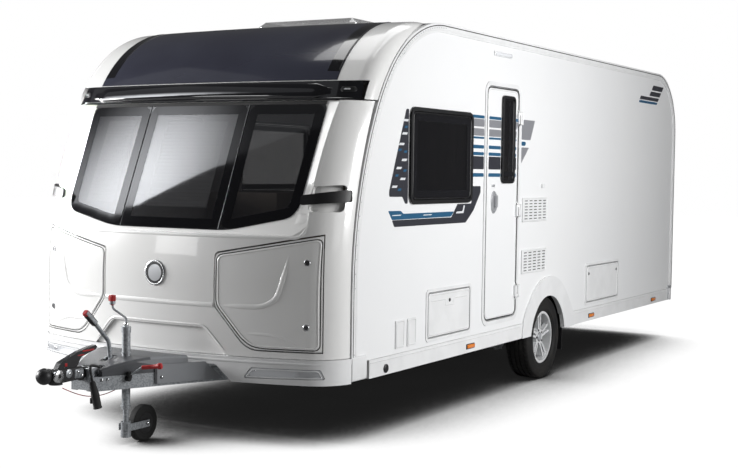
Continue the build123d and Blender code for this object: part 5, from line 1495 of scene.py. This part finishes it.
@dataclass
class Drawbar:
    """Coupling, lever, crank, clamp and cover details."""

    rail_slope: float = math.tan(math.radians(25.0))
    rail_foot: tuple = (0.078, 3.380)
    pad_foot: tuple = (0.052, -3.614, 0.460)
    bellows_foot: tuple = (0.0, -3.404, 0.440)
    lever_end: tuple = (0.0, -3.281, 0.707)
    lever_way: tuple = (0.0, -71.0, 64.0)
    knob_foot: tuple = (0.056, -3.200, 0.834)
    clamp_grip: tuple = ((0.246, -3.172, 0.468), (0.346, -3.141, 0.481))
    tube_foot: tuple = (0.062, -3.090, 0.0)
    plug_ends: tuple = ((0.1192, -3.4236, 0.404), (0.133, -3.399, 0.266))

    def rail_x(self, y: float) -> float:
        """Distance of the drawbar's outer face from the middle at a given y."""
        near, back = self.rail_foot
        return near + (y + back) * self.rail_slope

    def coupling(self) -> None:
        """Adds pads, bellows and red marks to the coupling."""
        pads, hearts = Shape(), Shape()
        for side in (1, -1):
            x, y, z = self.pad_foot
            foot = (side * x, y, z)
            pads.turned(((0.0335, -0.010), (0.0345, 0.002), (0.0325, 0.009), (0.024, 0.013), (0.014, 0.0135),
                         (0.011, 0.011)), foot, (side, 0, 0), 44)
            hearts.turned(((0.0112, 0.0), (0.0112, 0.0125), (0.004, 0.0130), (0.0005, 0.0130)), foot,
                          (side, 0, 0), 28)
        pads.done("coupling_pads", Paint.BRIGHT)
        hearts.done("coupling_pad_hearts", Paint.BLACK)
        profile = [(0.020, 0.0)]
        for k in range(7):
            profile += [(0.036, 0.002 + k * 0.0085), (0.028, 0.006 + k * 0.0085)]
        profile.append((0.020, 0.062))
        Shape().turned(profile, self.bellows_foot, (0, 1, 0), 36).done("coupling_bellows", Paint.RUBBER)
        marks = Shape()
        for side in (1, -1):
            for y, z, long, high in ((-3.348, 0.566, 0.090, 0.008), (-3.520, 0.506, 0.018, 0.018),
                                     (-3.405, 0.546, 0.050, 0.006)):
                marks.block((side * 0.0165, y, z), (0.003, long, high), 0.001)
        marks.block((0.0, -3.300, 0.5745), (0.028, 0.050, 0.007), 0.002)
        marks.done("coupling_marks", Paint.RED)
        housing = Shape()
        for side in (1, -1):
            boss = ((0.024, -0.004), (0.024, 0.004), (0.018, 0.007), (0.0005, 0.007))
            housing.turned(boss, (side * 0.036, -3.520, 0.462), (side, 0, 0), 28)
        housing.block((0.0, -3.440, 0.452), (0.082, 0.070, 0.052), 0.010)
        housing.done("coupling_housing", Paint.ZINC)
        spots = ((-3.520, 0.462), (-3.455, 0.462), (-3.425, 0.440))
        bolts = [(side * 0.043, y, z) for side in (1, -1) for y, z in spots]
        Repeats().copies("coupling_bolts", bolts, (0.006, 0.010, 0.010), Paint.BRIGHT, round_kind=True)
        block = [(side * x, y, 0.4295) for side in (1, -1) for x, y in ((0.030, -3.362), (0.052, -3.340))]
        Repeats().copies("shaft_bolts", block, (0.010, 0.010, 0.006), Paint.BRIGHT, round_kind=True)

    def lever(self) -> None:
        """Covers the handbrake lever's grip and its foot bracket."""
        foot, way = Vector(self.lever_end), Vector(self.lever_way).normalized()
        up = Vector((1, 0, 0)).cross(way).normalized()

        def ring(at: float, half_x: float, half_up: float) -> list[Vector]:
            """One rounded ring of the grip.

            Args:
                at: its distance along the lever.
                half_x: half its width.
                half_up: half its height.

            Returns:
                Points round the ring.
            """
            middle = foot + way * at
            return [
                middle + Vector((half_x * math.copysign(abs(math.cos(a)) ** 0.6, math.cos(a)), 0, 0))
                + up * (half_up * math.copysign(abs(math.sin(a)) ** 0.6, math.sin(a)))
                for a in full_turn(28)
            ]

        grip = Shape().loops([ring(-0.006, 0.013, 0.016), ring(-0.002, 0.0155, 0.0185),
                              ring(0.084, 0.0155, 0.0190)])
        grip.done("lever_grip", Paint.RUBBER)
        tip = Shape().loops([ring(0.0842, 0.0155, 0.0190), ring(0.098, 0.0153, 0.0186),
                             ring(0.104, 0.011, 0.013)])
        tip.done("lever_tip", Paint.RED)
        under = Shape().loops(
            [[p - up * 0.0035 for p in ring(0.006, 0.009, 0.0175)],
             [p - up * 0.0035 for p in ring(0.080, 0.009, 0.0175)]]
        )
        under.done("lever_inlay", Paint.RED)
        plates = Shape()
        for side in (1, -1):
            plates.prism(((side * 0.012, -3.205, 0.428), (side * 0.012, -3.105, 0.428),
                          (side * 0.012, -3.120, 0.505), (side * 0.012, -3.180, 0.505)), (side * 0.005, 0, 0))
        plates.done("lever_bracket", Paint.ZINC)
        pins = [(side * 0.020, y, z) for side in (1, -1) for y, z in ((-3.150, 0.480), (-3.185, 0.450))]
        Repeats().copies("lever_pins", pins, (0.006, 0.009, 0.009), Paint.BRIGHT, round_kind=True)

    def crank(self) -> None:
        """Adds the crank's knob, the clamp's grip and the tube's collars."""
        profile = ((0.008, -0.030), (0.012, -0.026), (0.012, -0.010), (0.0185, -0.006), (0.0195, 0.010),
                   (0.0185, 0.025), (0.014, 0.028), (0.0005, 0.029))
        knob = Shape().turned(profile, self.knob_foot, (0, 0, 1), 28)
        x, y, z = self.knob_foot
        for a in full_turn(5):
            knob.block((x + 0.0175 * math.cos(a), y + 0.0175 * math.sin(a), z + 0.010), (0.009, 0.009, 0.034),
                       0.004)
        knob.done("crank_knob", Paint.RED)
        start, end = map(Vector, self.clamp_grip)
        way = (end - start).normalized()
        length = (end - start).length
        profile = ((0.0080, 0.0), (0.0120, 0.003), (0.0115, length * 0.5), (0.0125, length - 0.012),
                   (0.0170, length - 0.006), (0.0185, length + 0.004), (0.0160, length + 0.013),
                   (0.0005, length + 0.017))
        grip = Shape().turned(profile, start, way, 24)
        grip.done("clamp_grip", Paint.RED)
        profile = ((0.014, -0.004), (0.016, 0.0), (0.016, 0.020), (0.013, 0.024), (0.0005, 0.024))
        joint = Shape().turned(profile, (self.rail_x(-3.200) + 0.002, -3.200, 0.404), (1, 0, 0), 28)
        joint.block((self.rail_x(-3.200) + 0.016, -3.196, 0.424), (0.024, 0.030, 0.038), 0.006)
        joint.done("clamp_joint", Paint.BLACK)
        collars = Shape()
        for z0, z1 in ((0.640, 0.676), (0.520, 0.530), (0.214, 0.228)):
            ring = ((0.0242, z0), (0.0275, z0 + 0.002), (0.0275, z1 - 0.002), (0.0242, z1))
            collars.turned(ring, self.tube_foot, (0, 0, 1), 36)
        collars.done("jockey_collars", Paint.ZINC)
        nut = Shape().turned(((0.012, 0.676), (0.014, 0.680), (0.014, 0.692), (0.008, 0.700)), self.tube_foot,
                             (0, 0, 1), 8)
        nut.done("crank_nut", Paint.BRIGHT)

    def covers(self) -> None:
        """Adds the fairings' screws, the rails' bolts and the plug's sleeve."""
        screws = [(side * (self.rail_x(-3.020) + 0.0215), -3.020, 0.398) for side in (1, -1)]
        Repeats().copies("fairing_screws", screws, (0.005, 0.009, 0.009), Paint.BRIGHT, round_kind=True)
        top, tip = map(Vector, self.plug_ends)
        way = (tip - top).normalized()
        profile = ((0.010, -0.010), (0.0145, -0.004), (0.0150, 0.008), (0.0225, 0.058), (0.0225, 0.064),
                   (0.0235, 0.066), (0.0235, 0.074), (0.0225, 0.076), (0.0225, 0.134), (0.0240, 0.137),
                   (0.0240, 0.1415), (0.0205, 0.142), (0.0205, 0.132), (0.0005, 0.132))
        sleeve = Shape().turned(profile, top, way, 32)
        sleeve.block(tuple(top + way * 0.100 + Vector((-0.026, -0.004, 0.0))), (0.014, 0.030, 0.034), 0.006)
        sleeve.done("plug_sleeve", Paint.RUBBER)
        joins = [(side * self.rail_x(y), y, 0.406) for side in (1, -1) for y in (-3.330, -3.300)]
        Repeats().copies("rail_bolts", joins, (0.007, 0.010, 0.010), Paint.BRIGHT, round_kind=True)

    def build(self) -> None:
        """Builds the drawbar's details."""
        self.coupling()
        self.lever()
        self.crank()
        self.covers()


# ---------------------------------------------------------------- rear, roof and underside
@dataclass
class RearAndRoof:
    """Window frame, lamps and plate of the rear, and the roof's fittings."""

    window: tuple = (-0.507, 0.507, 1.343, 1.887)
    lamp: tuple = (0.892, 1.038, 0.652, 0.968)
    lamp_inner: tuple = (0.905, 1.025)
    amber_height: float = 0.925
    clear_height: float = 0.690
    pressing: tuple = ((-0.700, 1.160), (-0.560, 1.960), (0.560, 1.960), (0.700, 1.160))
    handle_x: float = 0.960
    seam_x: float = 0.550
    aerial_foot: tuple = (0.300, 2.600, 2.505)

    def rear(self) -> None:
        """Builds the rear's details."""
        glass = Skin("cabin_windows rear_panel", INTO_REAR)
        ring = Shape().ribbon(oblong(*self.window, 0.05), glass, flat(0.022, 0.005), closed=True)
        ring.done("rear_window_frame", Paint.BLACK)
        band = Shape().ribbon(inset(self.window, 0.047, 0.03), glass, flat(0.042, 0.0008), closed=True)
        band.done("rear_window_border", Paint.PIANO)
        lamps = Skin("rear_lamps", INTO_REAR)
        rims, amber, clear = Shape(), Shape(), Shape()
        for side in (1, -1):
            x0, x1 = sorted(side * x for x in self.lamp[:2])
            near, far = (side * x for x in self.lamp_inner)
            rims.ribbon(oblong(x0, x1, *self.lamp[2:], 0.02), lamps, flat(0.012, 0.004), closed=True)
            for lens, z, width in ((amber, self.amber_height, 0.060), (clear, self.clear_height, 0.050)):
                lens.ribbon(straight((near, z), (far, z)), lamps, flat(width, 0.003))
        rims.done("rear_lamp_rims", Paint.TRIM)
        amber.done("rear_amber_lenses", Paint.AMBER)
        clear.done("rear_clear_lenses", Paint.CLEAR)
        panel = Skin("rear_panel", INTO_REAR)
        plate = Shape().ribbon(straight((-0.260, 0.760), (0.260, 0.760), 0.04), panel, flat(0.111, 0.004))
        plate.done("blank_plate", Paint.TRIM)
        lines = Shape()
        for z in (1.160, 0.560):
            lines.ribbon(straight((-0.840, z), (0.840, z), 0.06), panel, bead(0.030, 0.006), fade=0.1)
        lines.ribbon(rounded(self.pressing, 0.06, 0.06), panel, bead(0.026, 0.006), fade=0.08)
        lines.done("rear_pressings", Paint.SHELL)
        strip = Shape().ribbon(straight((-0.160, 2.080), (0.160, 2.080), 0.04), panel, flat(0.022, 0.006))
        strip.done("high_brake_lamp", Paint.RED_LENS)
        handles = Shape()
        for side in (1, -1):
            x = side * self.handle_x
            handles.tube(((x, 3.640, 1.130), (x, 3.688, 1.130), (x, 3.688, 1.290), (x, 3.640, 1.290)), 0.010,
                         0.02)
        handles.done("rear_handles", Paint.BLACK)
        bumper = Skin("bumpers", INTO_REAR)
        ridge = Shape().ribbon(straight((-1.04, 0.470), (1.04, 0.470), 0.06), bumper, bead(0.018, 0.004),
                               fade=0.1)
        ridge.done("rear_bumper_ridge", Paint.TRIM)

    def roof(self) -> None:
        """Builds the roof's details."""
        skin = Skin("roof", DOWN)
        seams = Shape()
        for x in (-self.seam_x, self.seam_x):
            seams.ribbon(straight((x, -0.300), (x, 3.000), 0.2), skin, bead(0.022, 0.003), fade=0.1)
        seams.done("roof_seams", Paint.ROOF)
        profile = ((0.060, -0.002), (0.060, 0.006), (0.040, 0.020), (0.018, 0.030), (0.0005, 0.032))
        aerial = Shape().turned(profile, self.aerial_foot, (0, 0, 1), 36)
        aerial.done("roof_aerial", Paint.TRIM)

    def build(self) -> None:
        """Builds rear and roof."""
        self.rear()
        self.roof()


# ---------------------------------------------------------------- camera, light and floor
@dataclass
class CameraRig:
    """The camera, level with a tall person's chest and off the drawbar's left side."""

    place: Point = (4.834, -8.55, 1.570)
    azimuth: float = 30.327
    pitch: float = 2.845
    roll: float = 0.796
    lens: float = 61.88

    def build(self) -> None:
        """Adds the camera and makes it the scene's own."""
        data = bpy.data.cameras.new("camera")
        data.lens = self.lens
        data.sensor_width = 36.0
        data.clip_end = 200.0
        camera = bpy.data.objects.new("camera", data)
        turn = Matrix.Rotation(math.radians(self.azimuth), 4, "Z")
        turn @= Matrix.Rotation(math.radians(90.0 - self.pitch), 4, "X")
        turn @= Matrix.Rotation(math.radians(self.roll), 4, "Z")
        camera.matrix_world = Matrix.Translation(self.place) @ turn
        bpy.context.collection.objects.link(camera)
        bpy.context.scene.camera = camera


@dataclass(frozen=True)
class SoftBox:
    """One soft box of the studio."""

    name: str
    place: Point
    aim: Point
    width: float
    height: float
    power: float
    spread: float = 180.0

    def build(self) -> None:
        """Adds the lamp."""
        data = bpy.data.lights.new(self.name, "AREA")
        data.shape = "RECTANGLE"
        data.size, data.size_y = self.width, self.height
        data.energy = self.power
        data.spread = math.radians(self.spread)
        lamp = bpy.data.objects.new(self.name, data)
        lamp.location = self.place
        lamp.rotation_euler = (Vector(self.aim) - Vector(self.place)).to_track_quat("-Z", "Y").to_euler()
        bpy.context.collection.objects.link(lamp)


@dataclass
class Studio:
    """A white studio with dark surroundings: floor, sky, soft boxes and a reflection card."""

    floor_half: float = 40.0
    floor_depth: float = 0.001
    shadow_reach: float = 1.4
    sky: float = 0.06
    boxes: tuple = (
        SoftBox("key_grazing", (-7.5, -4.0, 2.6), (-0.6, -2.5, 1.2), 2.0, 2.0, 715.0),
        SoftBox("key_left", (-7.0, -6.0, 3.0), (-0.6, -2.5, 1.2), 2.0, 2.0, 510.0),
        SoftBox("front_left", (-4.0, -9.0, 2.4), (0.0, -2.6, 1.2), 2.0, 2.0, 64.0),
        SoftBox("side_front", (6.2, -3.5, 2.4), (1.1, -2.0, 1.2), 2.0, 2.0, 19.0),
        SoftBox("side_middle", (6.2, -0.55, 2.6), (1.1, 0.1, 1.2), 2.0, 2.0, 330.0),
        SoftBox("screen_edge", (2.5, -9.0, 2.0), (-1.05, -2.6, 1.65), 0.2, 0.5, 12.0, 5.0),
        SoftBox("top_box", (0.0, 0.5, 7.5), (0.0, 0.5, 0.0), 4.0, 6.0, 235.0),
        SoftBox("rear_box", (0.0, 12.0, 4.0), (0.0, 3.6, 1.3), 3.0, 2.0, 150.0),
    )
    card_middle: Point = (-3.7305, -6.2101, 4.6084)
    card_across: Point = (-0.6954, 0.7186, 0.0)
    card_up: Point = (0.3603, 0.3487, 0.8652)
    card_edge: tuple = ((2.9, -0.9), (1.35, -0.62), (0.85, -0.28), (-0.55, 0.86), (-2.3, 2.35), (-2.3, 3.6),
                        (3.6, 3.6), (3.6, -0.9))
    glow_spot: tuple = (1.1, 0.2)
    glow_turn: tuple = (0.63, 0.77)
    glow_size: tuple = (2.3, 1.25)

    def floor(self) -> None:
        """Adds the floor: white to the camera, with a painted shadow where the caravan hides it from the sky.
        """
        half, low = self.floor_half, -self.floor_depth
        mesh = bpy.data.meshes.new("studio_floor")
        mesh.from_pydata(
            [(-half, -half, low), (half, -half, low), (half, half, low), (-half, half, low)], [], [(0, 1, 2, 3)]
        )
        plane = bpy.data.objects.new("studio_floor", mesh)
        bpy.context.collection.objects.link(plane)
        graph = Graph("studio_floor")
        # The camera sees emission darkened by ambient occlusion about a normal leant towards the left lamps: a
        # painted shadow, not one the lamps cast.
        lean = graph.node("ShaderNodeCombineXYZ", None, {"X": -0.42, "Y": -0.25, "Z": 0.87})
        painted_shadow_ao = graph.node(
            "ShaderNodeAmbientOcclusion", {"samples": 24},
            {"Distance": self.shadow_reach, "Normal": Sock(graph, lean.outputs[0])}
        )
        open_sky = Sock(graph, painted_shadow_ao.outputs["AO"])
        glow = open_sky.ramp(0.30, 0.70) + open_sky * 0.06
        dull = graph.node("ShaderNodeBsdfDiffuse", None, {"Color": (0.30, 0.30, 0.30), "Roughness": 0.5})
        white = graph.node("ShaderNodeEmission", None, {"Color": (1.0, 1.0, 1.0), "Strength": glow})
        path = graph.node("ShaderNodeLightPath")
        seen = graph.math("MAXIMUM", Sock(graph, path.outputs["Is Camera Ray"]),
                          Sock(graph, path.outputs["Is Transmission Ray"]))
        blend = graph.node("ShaderNodeMixShader", None, {0: seen})
        graph.tree.links.new(dull.outputs[0], blend.inputs[1])
        graph.tree.links.new(white.outputs[0], blend.inputs[2])
        mesh.materials.append(graph.surface(blend.outputs[0]))

    def card(self) -> None:
        """Hangs a bright card that only glossy surfaces see, high on the left of the nose."""
        across, up, middle = Vector(self.card_across), Vector(self.card_up), Vector(self.card_middle)
        mesh = bpy.data.meshes.new("reflection_card")
        mesh.from_pydata([middle + across * u + up * v for u, v in self.card_edge], [],
                         [tuple(range(len(self.card_edge)))])
        sheet = bpy.data.objects.new("reflection_card", mesh)
        bpy.context.collection.objects.link(sheet)
        graph = Graph("reflection_card")
        x, y, z = graph.axes()
        off = [x - middle.x, y - middle.y, z - middle.z]
        u = off[0] * across.x + off[1] * across.y + off[2] * across.z
        v = off[0] * up.x + off[1] * up.y + off[2] * up.z
        (right, below), (cosine, sine), (long, wide) = self.glow_spot, self.glow_turn, self.glow_size
        along = (v + below) * cosine - (u - right) * sine
        aside = (u - right) * cosine + (v + below) * sine
        far = ((along / long) ** 2.0 + (aside / wide) ** 2.0) ** 0.5
        shine = {"Color": (0.94, 0.96, 1.0), "Strength": far.ramp(0.0, 1.1, 8.5, 0.25)}
        glow = graph.node("ShaderNodeEmission", None, shine)
        mesh.materials.append(graph.surface(glow.outputs[0]))
        for kind in ("camera", "diffuse", "transmission", "shadow", "volume_scatter"):
            setattr(sheet, f"visible_{kind}", False)

    def world(self) -> None:
        """Sets a dim even sky that the camera sees as white."""
        world = bpy.data.worlds.new("studio_sky")
        bpy.context.scene.world = world
        world.use_nodes = True
        nodes, links = world.node_tree.nodes, world.node_tree.links
        nodes.clear()
        path = nodes.new("ShaderNodeLightPath")
        sky = nodes.new("ShaderNodeMix")
        sky.data_type = "RGBA"
        sky.inputs[6].default_value = (self.sky, self.sky, self.sky * 1.02, 1.0)
        sky.inputs[7].default_value = (1.0, 1.0, 1.0, 1.0)
        links.new(path.outputs["Is Camera Ray"], sky.inputs[0])
        back = nodes.new("ShaderNodeBackground")
        links.new(sky.outputs[2], back.inputs["Color"])
        end = nodes.new("ShaderNodeOutputWorld")
        links.new(back.outputs[0], end.inputs["Surface"])

    def build(self) -> None:
        """Builds the studio."""
        for box in self.boxes:
            box.build()
        self.floor()
        self.card()
        self.world()
        bpy.context.scene.view_settings.view_transform = "Standard"


# ---------------------------------------------------------------- cords
@dataclass
class Cords:
    """The road cable to its plug, and the breakaway cable under the drawbar."""

    cable_route: tuple = ((0.052, -3.300, 0.470), (0.068, -3.380, 0.496), (0.108, -3.436, 0.486),
                          (0.119, -3.424, 0.404))
    cable_width: float = 0.013
    cable_length: float = 0.235
    breakaway_route: tuple = (
        (0.014, -2.990, 0.352), (0.020, -3.130, 0.312), (0.022, -3.290, 0.300), (0.020, -3.430, 0.328),
        (0.014, -3.545, 0.384),
    )
    breakaway_width: float = 0.005
    breakaway_length: float = 0.585

    def strand(self, name: str, route: Sequence[Point], width: float) -> bpy.types.Object:
        """Makes one smooth cord.

        Args:
            name: the piece's name.
            route: the control points, in metres.
            width: the cord's diameter.

        Returns:
            The curve object.
        """
        data = bpy.data.curves.new(name, "CURVE")
        data.dimensions = "3D"
        data.bevel_depth = width / 2
        data.bevel_resolution = 4
        data.use_fill_caps = True
        spline = data.splines.new("NURBS")
        spline.points.add(len(route) - 1)
        for point, place in zip(spline.points, route):
            point.co = (*place, 1.0)
        spline.order_u = 3
        spline.use_endpoint_u = True
        spline.resolution_u = 12
        made = bpy.data.objects.new(name, data)
        bpy.context.collection.objects.link(made)
        return made

    def build(self) -> None:
        cable = self.strand("road_cable_lead", self.cable_route, self.cable_width)
        Paint.RUBBER.coat_on(cable)
        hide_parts("road_cable")
        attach(cable, "root")
        wire = self.strand("breakaway_wire", self.breakaway_route, self.breakaway_width)
        Paint.RED.coat_on(wire)
        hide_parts("breakaway_cable")
        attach(wire, "root")
        log.info("cords laid")


def second_finish(name: str, paint: Paint, holds: Callable[[Vector], bool]) -> None:
    """Gives some faces of a CAD node a finish of their own.

    Args:
        name: the node.
        paint: the second finish.
        holds: whether the face with a given middle gets it.
    """
    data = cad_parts[name].data
    data.materials.append(paint.value.material())
    for face in data.polygons:
        if holds(face.center):
            face.material_index = 1


def dress_nodes() -> None:
    """Gives every carried-over CAD node its finish, and some faces a second one."""
    for paint, names in NODE_FINISH.items():
        for name in names.split():
            paint.coat_on(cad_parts[name])
    bar = Drawbar()
    second_finish("front_glass", Paint.SUNROOF, lambda spot: spot.z > 2.095)
    second_finish("entrance_door", Paint.SILVER_PLASTIC, lambda spot: spot.x > 1.134 and -0.56 < spot.y < -0.48)
    second_finish(
        "drawbar_covers", Paint.PALE_GREY,
        lambda spot: spot.z < 0.424 or (spot.y > -3.055 and abs(spot.x) > bar.rail_x(spot.y) - 0.012),
    )


def main() -> None:
    """Builds the scene in order."""
    CameraRig().build()
    Studio().build()
    Cords().build()
    dress_nodes()
    for builder in (FrontMouldings(), FrontGlazing(), SideTrim(), EntranceDoor(), Decals(), Wheels(),
                    Drawbar(), RearAndRoof()):
        builder.build()


if __name__ == "__main__":
    main()
